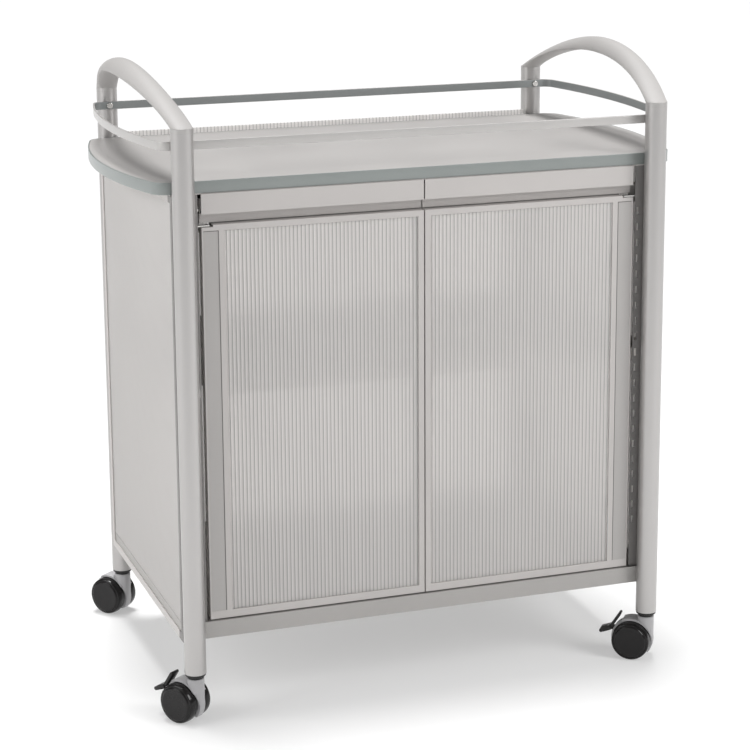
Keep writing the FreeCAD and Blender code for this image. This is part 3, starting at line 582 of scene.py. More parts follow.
@dataclass(frozen=True)
class Finish:
    """A painted, moulded or plated surface with fine grain, faint unevenness and dust.

    Ahead of front_edge, where that is set, the colour has painted shade from the posts and doors.
    """

    name: str
    slot: str
    colour: Colour
    roughness: float
    metallic: float = 0.0
    coat: float = 0.0
    coat_roughness: float = 0.15
    specular: float = 0.5
    grain_scale: float = 900.0
    grain_depth: float = 0.00004
    grain_strength: float = 0.6
    tone: float = 0.06
    dust: float = 0.12
    patchiness: float = 0.12
    stretch: Point = (1.0, 1.0, 1.0)
    # front_edge, edge_shade and edge_blend set painted shade ahead of a line
    front_edge: float | None = None
    edge_shade: float = 0.38
    edge_blend: float = 0.001

    def shade(self, factor: float) -> Colour:
        """The colour made lighter or darker by a factor."""
        return tuple(min(1.0, value * factor) for value in self.colour)

    def shaded(self, wiring: Wiring, colour: bpy.types.NodeSocket) -> bpy.types.NodeSocket:
        """Paints shade on what stands ahead of the front edge.

        Args:
            wiring: The material's nodes.
            colour: The colour behind the edge.

        Returns:
            The colour with painted shade ahead of the edge.
        """
        split = wiring.tree.nodes.new("ShaderNodeSeparateXYZ")
        wiring.join(wiring.place, split.inputs[0])
        span = (self.front_edge - self.edge_blend, self.front_edge + self.edge_blend)
        ahead = wiring.spread(split.outputs["Y"], 1.0, 0.0, span)
        return wiring.mix(ahead, colour, self.shade(self.edge_shade))

    def build(self, effects: Effects) -> bpy.types.Material:
        """Makes the material.

        Args:
            effects: Shared node groups.

        Returns:
            The material.
        """
        wiring = Wiring(self.name)
        wiring.set(Metallic=self.metallic, Coat_Weight=self.coat,
                   Coat_Roughness=self.coat_roughness, Specular_IOR_Level=self.specular)
        grain = wiring.group(effects.grain, wiring.scaled(self.stretch), Scale=self.grain_scale)
        dust = wiring.group(effects.dust, wiring.place, Amount=self.dust)
        painted = wiring.mix(wiring.spread(grain.outputs["Tone"], 0.0, 1.0),
                             self.shade(1.0 - self.tone), self.shade(1.0 + self.tone))
        colour = wiring.mix(dust.outputs["Mask"], painted, DUST_COLOUR)
        # painted shade of the posts and doors on what stands ahead of the front edge
        if self.front_edge is not None:
            colour = self.shaded(wiring, colour)
        wiring.join(colour, wiring.shader.inputs["Base Color"])
        rough = wiring.spread(grain.outputs["Broad"], self.roughness * (1.0 - self.patchiness),
                              self.roughness * (1.0 + self.patchiness))
        wiring.join(rough, wiring.shader.inputs["Roughness"])
        wiring.bump(grain.outputs["Height"], self.grain_strength, self.grain_depth)
        return wiring.material


@dataclass(frozen=True)
class SheetFinish:
    """Frosted twin-wall sheet: milky and see-through, with upright ribs."""

    name: str
    slot: str
    flow: Flow
    colour: Colour = (0.89, 0.868, 0.852)
    pitch: float = 0.006
    clear: float = 0.52
    ior: float = 1.06
    specular: float = 0.4
    roughness: float = 0.34
    channel_roughness: float = 1.5
    rib_shade: float = 0.5
    broad_shade: float = 0.97
    grain_scale: float = 420.0
    grain_strength: float = 0.2
    grain_depth: float = 0.00002

    def shade(self, factor: float) -> Colour:
        """The colour made darker by a factor."""
        return tuple(value * factor for value in self.colour)

    def build(self, effects: Effects) -> bpy.types.Material:
        """Makes the material.

        Args:
            effects: Shared node groups.

        Returns:
            The material.
        """
        wiring = Wiring(self.name)
        wiring.set(Transmission_Weight=self.clear, IOR=self.ior, Metallic=0.0,
                   Specular_IOR_Level=self.specular)
        turn = 0.0 if self.flow is Flow.ACROSS else -math.pi / 2
        along = wiring.scaled((1.0, 1.0, 1.0), turn)
        flutes = wiring.group(effects.flutes, along, Pitch=self.pitch)
        grain = wiring.group(effects.grain, wiring.place, Scale=self.grain_scale)
        clear = wiring.mix(grain.outputs["Broad"], self.colour, self.shade(self.broad_shade))
        ribbed = wiring.mix(flutes.outputs["Rib"], clear, self.shade(self.rib_shade))
        wiring.join(ribbed, wiring.shader.inputs["Base Color"])
        rough = wiring.spread(flutes.outputs["Channel"], self.roughness,
                              self.roughness * self.channel_roughness, (0.0, 1.0))
        wiring.join(rough, wiring.shader.inputs["Roughness"])
        wiring.bump(grain.outputs["Height"], self.grain_strength, self.grain_depth)
        return wiring.material


@dataclass(frozen=True)
class Palette:
    """Every finish of the stand, built once."""

    post: bpy.types.Material
    handle: bpy.types.Material
    laminate: bpy.types.Material
    band: bpy.types.Material
    sheet_metal: bpy.types.Material
    inner_metal: bpy.types.Material
    side_metal: bpy.types.Material
    strip: bpy.types.Material
    rail: bpy.types.Material
    rail_inside: bpy.types.Material
    steel: bpy.types.Material
    black: bpy.types.Material
    seam: bpy.types.Material
    hood: bpy.types.Material
    wheel: bpy.types.Material
    door_sheet: bpy.types.Material
    side_sheet: bpy.types.Material

    @classmethod
    def make(cls) -> "Palette":
        """Mixes every finish.

        Returns:
            The palette.
        """
        effects = Effects.make()
        # the side frames get painted shade ahead of the doors' back face
        behind_doors = 0.0015
        shaded_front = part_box("left_door_frame")[1].y + behind_doors
        silver = dict(metallic=0.72, coat=0.05, coat_roughness=0.3, specular=0.4)
        return cls(
            post=Finish("satin_silver_paint", "post_paint", (0.455, 0.443, 0.436), 0.32,
                        grain_scale=1500.0, tone=0.035, **silver).build(effects),
            handle=Finish("matte_grey_moulding", "handle_moulding", (0.40, 0.388, 0.38), 0.58,
                          specular=0.35, grain_scale=760.0, grain_depth=0.00012,
                          tone=0.07).build(effects),
            laminate=Finish("warm_grey_laminate", "worktop_laminate", (0.39, 0.377, 0.369), 0.44,
                            specular=0.32, grain_scale=650.0, grain_depth=0.00003,
                            tone=0.05).build(effects),
            band=Finish("green_grey_edge_band", "edge_band", (0.235, 0.257, 0.25), 0.33,
                        coat=0.3, coat_roughness=0.2, tone=0.05).build(effects),
            sheet_metal=Finish("grey_powder_coat", "frame_paint", (0.49, 0.467, 0.454), 0.46,
                               grain_scale=1100.0, grain_depth=0.00005,
                               tone=0.05).build(effects),
            # darker copy of the grey powder coat: painted shade for the shelf, drawer support,
            # trays and the pan
            inner_metal=Finish("inner_powder_coat", "frame_paint", (0.38, 0.367, 0.355), 0.5,
                               grain_scale=1100.0, tone=0.05).build(effects),
            side_metal=Finish("side_frame_powder_coat", "frame_paint", (0.54, 0.515, 0.50), 0.5,
                              grain_scale=1000.0, tone=0.05,
                              front_edge=shaded_front).build(effects),
            strip=Finish("grey_cover_strip", "strip_paint", (0.40, 0.385, 0.375), 0.48,
                         grain_scale=1000.0, tone=0.05).build(effects),
            rail=Finish("silver_rail_paint", "frame_paint", (0.47, 0.458, 0.447), 0.34,
                        metallic=0.2, coat=0.2, tone=0.04).build(effects),
            # darker copy of the rail paint: painted shade for the rail's inward faces
            rail_inside=Finish("rail_paint_inside", "frame_paint", (0.24, 0.255, 0.255), 0.42,
                               metallic=0.2, tone=0.04).build(effects),
            steel=Finish("bright_zinc_steel", "bright_steel", (0.62, 0.61, 0.59), 0.25,
                         metallic=1.0, grain_scale=700.0, tone=0.08,
                         stretch=(1.0, 1.0, 0.2)).build(effects),
            black=Finish("black_moulding", "black_plastic", (0.009, 0.009, 0.0095), 0.32,
                         specular=0.3, grain_scale=800.0, grain_depth=0.00006, tone=0.12,
                         dust=0.05).build(effects),
            # near-black finish: painted shade in the joints beside the door cover strips
            seam=Finish("shaded_seam", "black_plastic", (0.12, 0.115, 0.112), 0.6,
                        grain_scale=800.0, tone=0.1).build(effects),
            hood=Finish("grey_hood_moulding", "hood_plastic", (0.41, 0.405, 0.415), 0.38,
                        grain_scale=800.0, tone=0.07, dust=0.08).build(effects),
            wheel=Finish("black_wheel_disc", "wheel_black", (0.008, 0.0073, 0.0077), 0.2,
                         specular=0.22, coat=0.12, coat_roughness=0.08,
                         grain_scale=600.0, tone=0.12, dust=0.02).build(effects),
            door_sheet=SheetFinish("fluted_sheet_across", "translucent_sheet",
                                   Flow.ACROSS).build(effects),
            side_sheet=SheetFinish("fluted_sheet_depth", "translucent_sheet", Flow.DEPTH,
                                   (0.80, 0.78, 0.765), clear=0.4).build(effects),
        )


# ---- putting pieces on the frame ----------------------------------------------------
def dress(node: str, material: bpy.types.Material) -> None:
    """Gives a CAD node its finish.

    Args:
        node: Name of the node.
        material: The finish.
    """
    mesh = frame["nodes"][node].data
    mesh.materials.clear()
    mesh.materials.append(material)


def attach(piece: bpy.types.Object, body: str, material: bpy.types.Material,
           nodes: Sequence[str] = ()) -> bpy.types.Object:
    """Puts a new piece on its body and gives it a finish.

    Args:
        piece: The new piece.
        body: Body that it rides on.
        material: Its finish.
        nodes: CAD nodes that it stands for.

    Returns:
        The piece.
    """
    piece.data.materials.clear()
    piece.data.materials.append(material)
    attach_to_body(piece, body)
    if nodes:
        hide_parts(*nodes)
    LOG.info("piece %s on %s, %d faces", piece.name, body, len(piece.data.polygons))
    return piece


def softened(node: str, name: str, width: float, crease: float = 38.0,
             weld: float = 1e-6, flat: float = 0.6) -> bpy.types.Object:
    """Copy of a CAD node, welded, with its sharp edges rounded.

    Args:
        node: CAD node to copy.
        name: Name of the new piece.
        width: Width of the rounding.
        crease: Edges sharper than this many degrees are rounded.
        weld: Points nearer than this become one.
        flat: Faces within this many degrees of each other are joined.

    Returns:
        The new piece.
    """
    source = frame["nodes"][node]
    mesh = source.data.copy()
    mesh.name = name
    work = bmesh.new()
    work.from_mesh(mesh)
    bmesh.ops.remove_doubles(work, verts=work.verts, dist=weld)
    bmesh.ops.dissolve_limit(work, angle_limit=math.radians(flat), verts=work.verts,
                             edges=work.edges)
    work.to_mesh(mesh)
    work.free()
    piece = bpy.data.objects.new(name, mesh)
    bpy.context.scene.collection.objects.link(piece)
    mesh.polygons.foreach_set("use_smooth", [True] * len(mesh.polygons))
    rounding = piece.modifiers.new("rounded_edges", "BEVEL")
    rounding.width = width
    rounding.segments = 2
    rounding.limit_method = "ANGLE"
    rounding.angle_limit = math.radians(crease)
    rounding.harden_normals = True
    return piece


def joint(name: str) -> dict:
    """The frame's joint of that name."""
    return next(entry for entry in frame["joints"] if entry["name"] == name)


@dataclass(frozen=True)
class Post:
    """Place and size of one post, as the frame gives them."""

    x: float
    y: float
    top: float
    radius: float

    @classmethod
    def at(cls, side: Side, end: End) -> "Post":
        """Measures a post.

        Args:
            side: Left or right.
            end: Front or rear.

        Returns:
            The post.
        """
        low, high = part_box(f"{side.word}_{end.word}_post")
        return cls((low.x + high.x) / 2, (low.y + high.y) / 2, high.z, (high.x - low.x) / 2)

    def above(self, height: float) -> Point:
        """Point on the post's axis at a height."""
        return self.x, self.y, height


class SubAssembly(Protocol):
    """What makes and dresses some of the stand's pieces."""

    def build(self, palette: Palette) -> None:
        """Makes and dresses the pieces."""


# ---- sub-assemblies -----------------------------------------------------------------
@dataclass
class Handle:
    """Arched push handle over the two posts of one side."""

    side: Side
    crown_width: float = 0.040
    rise: float = 0.073
    inner_rise: float = 0.050
    splay: float = 0.024
    crease_foot: float = 0.5
    crease_crown: float = 0.1
    seam: float = 0.0007
    seam_share: float = 0.955
    spigot_length: float = 0.021
    spigot_rise: float = 0.02
    spigot_gap: float = 0.0016
    spigot_lead: float = 0.0006
    spigot_lead_length: float = 0.001
    rows: int = 120
    columns: int = 72

    def surface(self) -> Rows:
        """Grid of the arch from front seam to rear seam.

        Formula: at angle a along the arch the outer line reaches half the post pitch plus a
        radius times cos a and rises with sin a squared; the inner line reaches half the pitch
        less a radius and rises with sin a to the power 1.5. Both lean out with sin a squared.
        The section is two half ellipses on a common width; the crease between them moves from
        the middle at the posts to a tenth of the thickness at the crown.

        Returns:
            Grid of points.
        """
        front, rear = (Post.at(self.side, end) for end in End)
        radius = front.radius
        reach = (rear.y - front.y) / 2
        angle = np.linspace(0.0, math.pi, self.rows)
        lift = np.sin(angle)
        outer = np.c_[-(reach + radius) * np.cos(angle), front.top + self.rise * lift**2]
        inner = np.c_[-(reach - radius) * np.cos(angle), front.top + self.inner_rise * lift**1.5]
        half_width = radius + (self.crown_width / 2 - radius) * lift**2
        share = self.crease_foot - (self.crease_foot - self.crease_crown) * lift
        crease = inner + (outer - inner) * share[:, None]
        turn = np.linspace(0.0, 2 * math.pi, self.columns, endpoint=False)
        sine = np.sin(turn)
        toward = np.where((sine >= 0)[None, :, None], (outer - crease)[:, None],
                          (crease - inner)[:, None])
        line = crease[:, None] + sine[None, :, None] * toward
        lean = self.side.value * self.splay * lift**2
        across = front.x + lean[:, None] + half_width[:, None] * np.cos(turn)[None]
        return np.concatenate((across[..., None], line), axis=2)

    def build(self, palette: Palette) -> None:
        """Makes the handle with its seam rings and spigots.

        Args:
            palette: Every finish of the stand.
        """
        grid = self.surface()
        centre = grid.mean(axis=1, keepdims=True)
        first, last = (centre[row] + (grid[row] - centre[row]) * self.seam_share
                       for row in (0, -1))
        grid[[0, -1], :, 2] += self.seam
        shell = Shell().grid(np.concatenate((first[None], grid, last[None])))
        for end in End:
            post = Post.at(self.side, end)
            radius = post.radius - self.spigot_gap
            profile = np.array([(0.0, radius - self.spigot_lead),
                                (self.spigot_lead_length, radius), (self.spigot_length, radius)])
            foot = post.above(post.top - self.spigot_rise)
            shell.grid(lathe(profile, foot, (0, 0, 1), 40))
        node = f"{self.side.word}_handle_arch"
        attach(shell.build(f"{self.side.word}_push_handle", 50.0), "root",
               palette.handle, [node])


@dataclass
class Top:
    """Worktop with its edge band, and the guard rail above it."""

    bow: float = 0.0365
    corner: float = 0.028
    arris: float = 0.0003
    band: float = 0.002
    band_round: float = 0.0009
    band_gap: float = 0.00005
    rail_bow: float = 0.027
    rail_corner: float = 0.018
    rail_thickness: float = 0.003
    rail_round: float = 0.0011

    def build(self, palette: Palette) -> None:
        """Makes the board, the band and the rail.

        Args:
            palette: Every finish of the stand.
        """
        self.board(palette)
        self.edge_band(palette)
        self.guard_rail(palette)
        dress("guard_rail_screws", palette.steel)

    def board(self, palette: Palette) -> None:
        """Laminated board with a fine arris, just inside the band.

        Args:
            palette: Every finish of the stand.
        """
        low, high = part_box("worktop_board")
        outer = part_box("worktop_edge_band")[1]
        outline, normals = plan_outline(outer.x, outer.y, self.bow, self.corner)
        inside = self.band + self.band_gap
        profile = np.array([(-inside, low.z), (-inside, high.z - self.arris),
                            (-inside - self.arris, high.z)])
        board = Shell().grid(carried(outline, normals, profile).swapaxes(0, 1))
        attach(board.build("laminated_board", 20.0), "root",
               palette.laminate, ["worktop_board"])

    def edge_band(self, palette: Palette) -> None:
        """Band with softly rounded edges, carried round the board.

        Args:
            palette: Every finish of the stand.
        """
        low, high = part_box("worktop_edge_band")
        outline, normals = plan_outline(high.x, high.y, self.bow, self.corner)
        profile = rounded_rectangle(self.band, high.z - low.z, self.band_round)
        profile = profile + (-self.band / 2, (high.z + low.z) / 2)
        band = Shell().grid(carried(outline, normals, profile), loop=True)
        attach(band.build("worktop_band"), "root", palette.band,
               ["worktop_edge_band"])

    def guard_rail(self, palette: Palette) -> None:
        """Flat bar ring with rolled edges, with painted shade on its inward faces.

        Args:
            palette: Every finish of the stand.
        """
        low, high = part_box("guard_rail")
        outline, normals = plan_outline(high.x, high.y, self.rail_bow, self.rail_corner)
        profile = rounded_rectangle(self.rail_thickness, high.z - low.z, self.rail_round)
        profile = profile + (-self.rail_thickness / 2, (high.z + low.z) / 2)
        ring = Shell().grid(carried(outline, normals, profile), loop=True)
        piece = attach(ring.build("guard_rail_ring", 20.0), "root",
                       palette.rail, ["guard_rail"])
        piece.data.materials.append(palette.rail_inside)
        faces = piece.data.polygons
        normal, centre = np.empty((2, len(faces), 3), np.float32)
        faces.foreach_get("normal", normal.ravel())
        faces.foreach_get("center", centre.ravel())
        inward = (normal[:, :2] * centre[:, :2]).sum(axis=1) < 0
        upright = np.abs(normal[:, 2]) < 0.5
        # inward upright faces take the second slot, the painted shade
        faces.foreach_set("material_index", (inward & upright).astype(np.int32))


@dataclass
class FlutedSheet:
    """Twin-wall sheet with upright flutes on both faces."""

    node: str
    body: str
    flow: Flow
    pitch: float = 0.006
    depth: float = 0.0003
    per_flute: int = 8

    def build(self, material: bpy.types.Material) -> None:
        """Makes the sheet inside its CAD node's box.

        Formula: across the sheet each face goes in and out by half the flute depth times one
        plus the cosine of the distance in turns of the pitch.

        Args:
            material: The sheet's finish.
        """
        low, high = (np.array(corner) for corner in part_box(self.node))
        run, thin = (0, 1) if self.flow is Flow.ACROSS else (1, 0)
        count = int((high[run] - low[run]) / self.pitch * self.per_flute)
        along = np.linspace(low[run], high[run], count)
        dip = self.depth / 2 * (1 - np.cos(2 * math.pi * along / self.pitch))
        grid = np.zeros((count, 4, 3))
        grid[..., run] = along[:, None]
        grid[:, 0, thin] = grid[:, 3, thin] = low[thin] + dip
        grid[:, 1, thin] = grid[:, 2, thin] = high[thin] - dip
        grid[:, :2, 2] = low[2]
        grid[:, 2:, 2] = high[2]
        piece = Shell().grid(grid).build(self.node + "_fluted", 60.0)
        attach(piece, self.body, material, [self.node])


@dataclass
class Cabinet:
    """Shell of the cabinet: side frames, pan, panels, shelf and fixings."""

    metal: tuple[str, ...] = ("top_frame",)
    # these parts take the darker copy of the powder coat, painted shade
    inner: tuple[str, ...] = ("adjustable_shelf", "drawer_support", "bottom_pan")
    plated: tuple[str, ...] = ("shelf_clips", "drawer_fixed_runners", "hinge_brackets",
                               "frame_bolts")
    black: tuple[str, ...] = ("door_catches", "panel_rivets")
    ring_drop: float = 0.006
    ring_height: float = 0.0007
    ring_slope: float = 0.0001
    ring_proud: float = 0.00005
    ring_depth: float = 0.0004

    def build(self, palette: Palette) -> None:
        """Dresses the folded parts and makes the fluted panels.

        Args:
            palette: Every finish of the stand.
        """
        for names, material in ((self.metal, palette.sheet_metal),
                                (self.inner, palette.inner_metal),
                                (self.plated, palette.steel), (self.black, palette.black)):
            for name in names:
                dress(name, material)
        for side in Side:
            dress(f"{side.word}_side_frame", palette.side_metal)
            FlutedSheet(f"{side.word}_side_panel", "root", Flow.DEPTH).build(palette.side_sheet)
            for end in End:
                dress(f"{side.word}_{end.word}_post", palette.post)
        FlutedSheet("back_panel", "root", Flow.ACROSS).build(palette.door_sheet)
        self.post_rings(palette)

    def post_rings(self, palette: Palette) -> None:
        """Fine swaged line round each post just below the handle.

        Args:
            palette: Every finish of the stand.
        """
        shell = Shell()
        for side in Side:
            for end in End:
                post = Post.at(side, end)
                outside, inside = post.radius + self.ring_proud, post.radius - self.ring_depth
                profile = np.array([(0.0, inside), (self.ring_slope, outside),
                                    (self.ring_height, outside),
                                    (self.ring_height + self.ring_slope, inside)])
                foot = post.above(post.top - self.ring_drop)
                shell.grid(lathe(profile, foot, (0, 0, 1), 96), loop=True)
        attach(shell.build("post_lines", 30.0), "root", palette.strip)


@dataclass
class Door:
    """One door: frame, cover strip, fluted sheet and pins."""

    side: Side
    seam: float = 0.0011
    seam_depth: float = 0.0006
    seam_proud: float = 0.00008

    def build(self, palette: Palette) -> None:
        """Dresses the frame and makes the painted joint shade and the sheet.

        Args:
            palette: Every finish of the stand.
        """
        word = self.side.word
        dress(f"{word}_door_frame", palette.sheet_metal)
        dress(f"{word}_door_strip", palette.strip)
        self.seams(palette)
        dress(f"{word}_door_panel_clips", palette.black)
        dress(f"{word}_door_hinge_pins", palette.steel)
        FlutedSheet(f"{word}_door_panel", f"{word}_door", Flow.ACROSS).build(palette.door_sheet)

    def seams(self, palette: Palette) -> None:
        """Thin dark strips of painted shade in the joints at the top and the inner edge of the
        cover strip.

        Args:
            palette: Every finish of the stand.
        """
        low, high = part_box(f"{self.side.word}_door_strip")
        inner = high.x if self.side is Side.LEFT else low.x
        half = self.seam / 2
        spans = (((inner - half, inner + half), (low.z, high.z + half)),
                 ((low.x, high.x), (high.z - half, high.z + half)))
        shell = Shell()
        for (x0, x1), (z0, z1) in spans:
            ring = np.array([(x0, 0.0, z0), (x1, 0.0, z0), (x1, 0.0, z1), (x0, 0.0, z1)])
            front = (0.0, low.y - self.seam_proud, 0.0)
            back = (0.0, low.y + self.seam_depth, 0.0)
            shell.grid(np.stack((ring + front, ring + back)))
        attach(shell.build(f"{self.side.word}_strip_seams", 30.0), f"{self.side.word}_door",
               palette.seam)


@dataclass
class Drawer:
    """One shallow drawer: folded front and tray."""

    side: Side

    def build(self, palette: Palette) -> None:
        """Dresses the front and the tray."""
        dress(f"{self.side.word}_drawer_front", palette.sheet_metal)
        # the tray takes the darker copy of the powder coat, painted shade
        dress(f"{self.side.word}_drawer_tray", palette.inner_metal)


@dataclass
class Caster:
    """Twin-wheel caster under one post."""

    side: Side
    end: End
    wheel_width: float = 0.0185
    wheel_gap: float = 0.013
    bore: float = 0.0031
    hood_round: float = 0.0007
    lever_round: float = 0.0009

    @property
    def corner(self) -> str:
        """Name of the corner as the frame spells it."""
        return f"{self.side.word}_{self.end.word}"

    def wheel_profile(self, radius: float) -> Rows:
        """Profile of a wheel from its inner face outwards: tread, groove, bevel and disc.

        Args:
            radius: Radius of the tread.

        Returns:
            Rows of distance along the axis and radius.
        """
        w = self.wheel_width
        return rounded_profile([
            (0.0, self.bore, 0.0), (0.0, radius * 0.8, 0.0), (0.0, radius * 0.9, 0.0015),
            (0.0022, radius, 0.0028), (w * 0.66, radius, 0.004), (w * 0.88, radius * 0.955, 0.002),
            (w * 0.91, radius * 0.868, 0.0004), (w * 0.885, radius * 0.856, 0.0003),
            (w * 0.90, radius * 0.842, 0.0003), (w * 0.985, radius * 0.80, 0.0007),
            (w, radius * 0.74, 0.0012), (w * 0.985, radius * 0.55, 0.001),
            (w * 0.98, radius * 0.12, 0.0), (w * 0.98, 0.0003, 0.0),
        ])

    def wheels(self, palette: Palette) -> None:
        """Makes both wheels on their own axes.

        Args:
            palette: Every finish of the stand.
        """
        for word, sign in (("outer", 1.0), ("inner", -1.0)):
            roll = joint(f"{self.corner}_{word}_roll")
            axis = unit(roll["axis"]) * sign
            centre = np.array(roll["pos_m"])
            start = centre + axis * self.wheel_gap / 2
            shell = Shell().grid(lathe(self.wheel_profile(centre[2]), start, axis, 96))
            piece = shell.build(f"{self.corner}_{word}_tyre_and_disc", 40.0)
            attach(piece, f"{self.corner}_{word}_wheel_body", palette.wheel,
                   [f"{self.corner}_{word}_wheel"])

    def lever(self, palette: Palette) -> None:
        """Rounds the brake lever's edges.

        Args:
            palette: Every finish of the stand.
        """
        node = f"{self.corner}_brake_lever"
        piece = softened(node, f"{self.corner}_brake_pedal", self.lever_round)
        attach(piece, f"{self.corner}_brake", palette.black, [node])

    def build(self, palette: Palette) -> None:
        """Makes the wheels and rounds the hood and the lever.

        Args:
            palette: Every finish of the stand.
        """
        node = f"{self.corner}_caster_hood"
        hood = softened(node, f"{self.corner}_hood_shell", self.hood_round)
        attach(hood, f"{self.corner}_caster", palette.hood, [node])
        dress(f"{self.corner}_caster_axle", palette.steel)
        self.wheels(palette)
        if self.end is End.FRONT:
            self.lever(palette)


@dataclass
class CasterFittings:
    """Bearing rings, stems and sockets between the casters and the posts."""

    outer: float = 0.01575
    foot: float = 0.0123
    bore: float = 0.0051

    def build(self, palette: Palette) -> None:
        """Makes the turned rings and dresses the stems and sockets.

        Args:
            palette: Every finish of the stand.
        """
        low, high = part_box("caster_collars")
        height = high.z - low.z
        shell = Shell()
        for side in Side:
            for end in End:
                profile = rounded_profile([
                    (0.0, self.bore, 0.0), (0.0, self.foot, 0.0006),
                    (height * 0.45, self.foot, 0.0005), (height * 0.55, self.outer, 0.0009),
                    (height * 0.93, self.outer, 0.0006), (height, self.outer * 0.97, 0.0),
                    (height, self.bore, 0.0),
                ])
                foot = Post.at(side, end).above(low.z)
                shell.grid(lathe(profile, foot, (0, 0, 1), 64), loop=True)
        attach(shell.build("caster_bearing_rings", 40.0), "root", palette.black,
               ["caster_collars"])
        dress("caster_stems", palette.steel)
        dress("caster_sockets", palette.black)


# ---- studio -------------------------------------------------------------------------
@dataclass(frozen=True)
class Softbox:
    """Rectangular soft light aimed at a point."""

    name: str
    place: Point
    size: tuple[float, float]
    power: float
    target: Point = (0.0, 0.0, 0.6)

    def build(self) -> None:
        """Makes the light."""
        data = bpy.data.lights.new(self.name, "AREA")
        data.shape = "RECTANGLE"
        data.size, data.size_y = self.size
        data.energy = self.power
        lamp = bpy.data.objects.new(self.name, data)
        bpy.context.scene.collection.objects.link(lamp)
        lamp.location = self.place
        away = Vector(self.target) - Vector(self.place)
        lamp.rotation_euler = away.to_track_quat("-Z", "Y").to_euler()


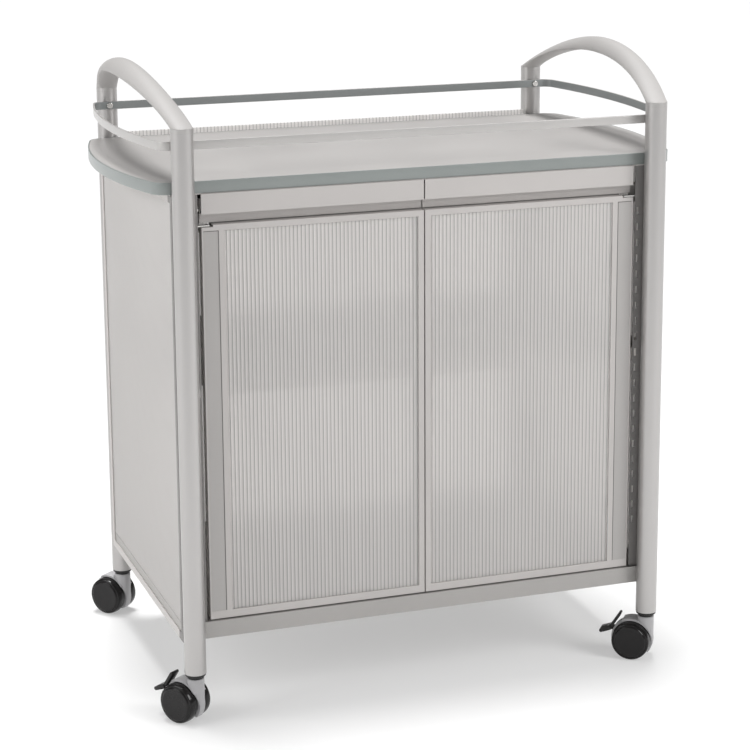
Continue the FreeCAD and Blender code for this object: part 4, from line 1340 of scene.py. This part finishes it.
@dataclass
class Studio:
    """Pale floor, soft lights and a bright even surround."""

    floor_half: float = 30.0
    floor_colour: Colour = (0.51, 0.51, 0.51)
    glow: float = 0.37
    horizon: tuple[float, float] = (-0.2, 0.75)
    surround: tuple[float, float] = (0.066, 0.252)
    backdrop: float = 1.05
    overhead_strength: float = 3.4
    overhead_spread: float = 20.0
    overhead_tilt: float = -11.0
    softboxes: tuple[Softbox, ...] = (
        Softbox("left_softbox", (-3.1, -0.4, 1.9), (1.8, 2.0), 52.0),
        Softbox("right_softbox", (2.2, -2.4, 2.3), (1.4, 1.8), 72.0),
    )

    def floor(self) -> None:
        """Plain pale floor."""
        mesh = bpy.data.meshes.new("studio_floor")
        h = self.floor_half
        mesh.from_pydata([(-h, -h, 0.0), (h, -h, 0.0), (h, h, 0.0), (-h, h, 0.0)], [],
                         [(0, 1, 2, 3)])
        plane = bpy.data.objects.new("studio_floor", mesh)
        bpy.context.scene.collection.objects.link(plane)
        wiring = Wiring("pale_floor")
        wiring.set(Base_Color=(*self.floor_colour, 1.0), Roughness=0.9, Specular_IOR_Level=0.1,
                   Emission_Color=(1.0, 1.0, 1.0, 1.0), Emission_Strength=self.glow)
        mesh.materials.append(wiring.material)

    def world(self) -> None:
        """White surround, dimmer near the horizon for what it lights."""
        world = bpy.data.worlds.new("studio_surround")
        bpy.context.scene.world = world
        world.use_nodes = True
        tree = world.node_tree
        nodes, links = tree.nodes, tree.links
        back = nodes["Background"]
        back.inputs["Color"].default_value = (1.0, 1.0, 1.0, 1.0)
        seen = nodes.new("ShaderNodeBackground")
        seen.inputs["Color"].default_value = (1.0, 1.0, 1.0, 1.0)
        seen.inputs["Strength"].default_value = self.backdrop
        place = nodes.new("ShaderNodeTexCoord")
        split = nodes.new("ShaderNodeSeparateXYZ")
        links.new(place.outputs["Generated"], split.inputs[0])
        ramp = nodes.new("ShaderNodeMapRange")
        for name, value in zip(("From Min", "From Max", "To Min", "To Max"),
                               self.horizon + self.surround):
            ramp.inputs[name].default_value = value
        links.new(split.outputs["Z"], ramp.inputs["Value"])
        links.new(ramp.outputs[0], back.inputs["Strength"])
        path = nodes.new("ShaderNodeLightPath")
        mix = nodes.new("ShaderNodeMixShader")
        links.new(path.outputs["Is Camera Ray"], mix.inputs[0])
        links.new(back.outputs[0], mix.inputs[1])
        links.new(seen.outputs[0], mix.inputs[2])
        links.new(mix.outputs[0], nodes["World Output"].inputs["Surface"])

    def overhead(self) -> None:
        """Broad light from above and a little behind, even over the whole floor."""
        data = bpy.data.lights.new("overhead", "SUN")
        data.energy = self.overhead_strength
        data.angle = math.radians(self.overhead_spread)
        lamp = bpy.data.objects.new("overhead", data)
        bpy.context.scene.collection.objects.link(lamp)
        lamp.rotation_euler = (math.radians(self.overhead_tilt), 0.0, 0.0)

    def build(self) -> None:
        """Makes the floor, the surround and the lights."""
        self.floor()
        self.world()
        for softbox in self.softboxes:
            softbox.build()
        self.overhead()
        bpy.context.scene.view_settings.view_transform = "Standard"


@dataclass
class Viewpoint:
    """Camera: a moderately long lens, left of the front and a little above the worktop."""

    place: Point = (-1.1353, -3.2811, 1.3628)
    yaw: float = 0.3402
    pitch: float = 0.2183
    roll: float = -0.0053
    lens: float = 106.5
    sensor: float = 36.0
    shift: tuple[float, float] = (-0.02, -0.12)
    reach: float = 100.0

    def build(self) -> None:
        """Makes the camera and the scene's camera setting."""
        forward = Vector((math.sin(self.yaw) * math.cos(self.pitch),
                          math.cos(self.yaw) * math.cos(self.pitch), -math.sin(self.pitch)))
        right = Vector((math.cos(self.yaw), -math.sin(self.yaw), 0.0))
        up = right.cross(forward)
        turned_right = right * math.cos(self.roll) + up * math.sin(self.roll)
        turned_up = up * math.cos(self.roll) - right * math.sin(self.roll)
        data = bpy.data.cameras.new("viewpoint")
        data.lens = self.lens
        data.sensor_width = self.sensor
        data.shift_x, data.shift_y = self.shift
        data.clip_end = self.reach
        camera = bpy.data.objects.new("viewpoint", data)
        bpy.context.scene.collection.objects.link(camera)
        axes = Matrix((turned_right, turned_up, -forward)).transposed().to_4x4()
        camera.matrix_world = Matrix.Translation(self.place) @ axes
        bpy.context.scene.camera = camera


@dataclass
class PrinterStand:
    """The whole stand."""

    parts: list[SubAssembly] = field(default_factory=list)

    def build(self, palette: Palette) -> None:
        """Builds every sub-assembly in order.

        Args:
            palette: Every finish of the stand.
        """
        self.parts = [Top(), Cabinet(), CasterFittings()]
        for side in Side:
            self.parts += [Handle(side), Door(side), Drawer(side)]
            self.parts += [Caster(side, end) for end in End]
        for part in self.parts:
            LOG.info("building %s", type(part).__name__)
            part.build(palette)


def main() -> None:
    """Builds the studio and the stand."""
    logging.basicConfig(level=logging.INFO, format="%(message)s")
    Viewpoint().build()
    Studio().build()
    PrinterStand().build(Palette.make())


if __name__ == "__main__":
    main()
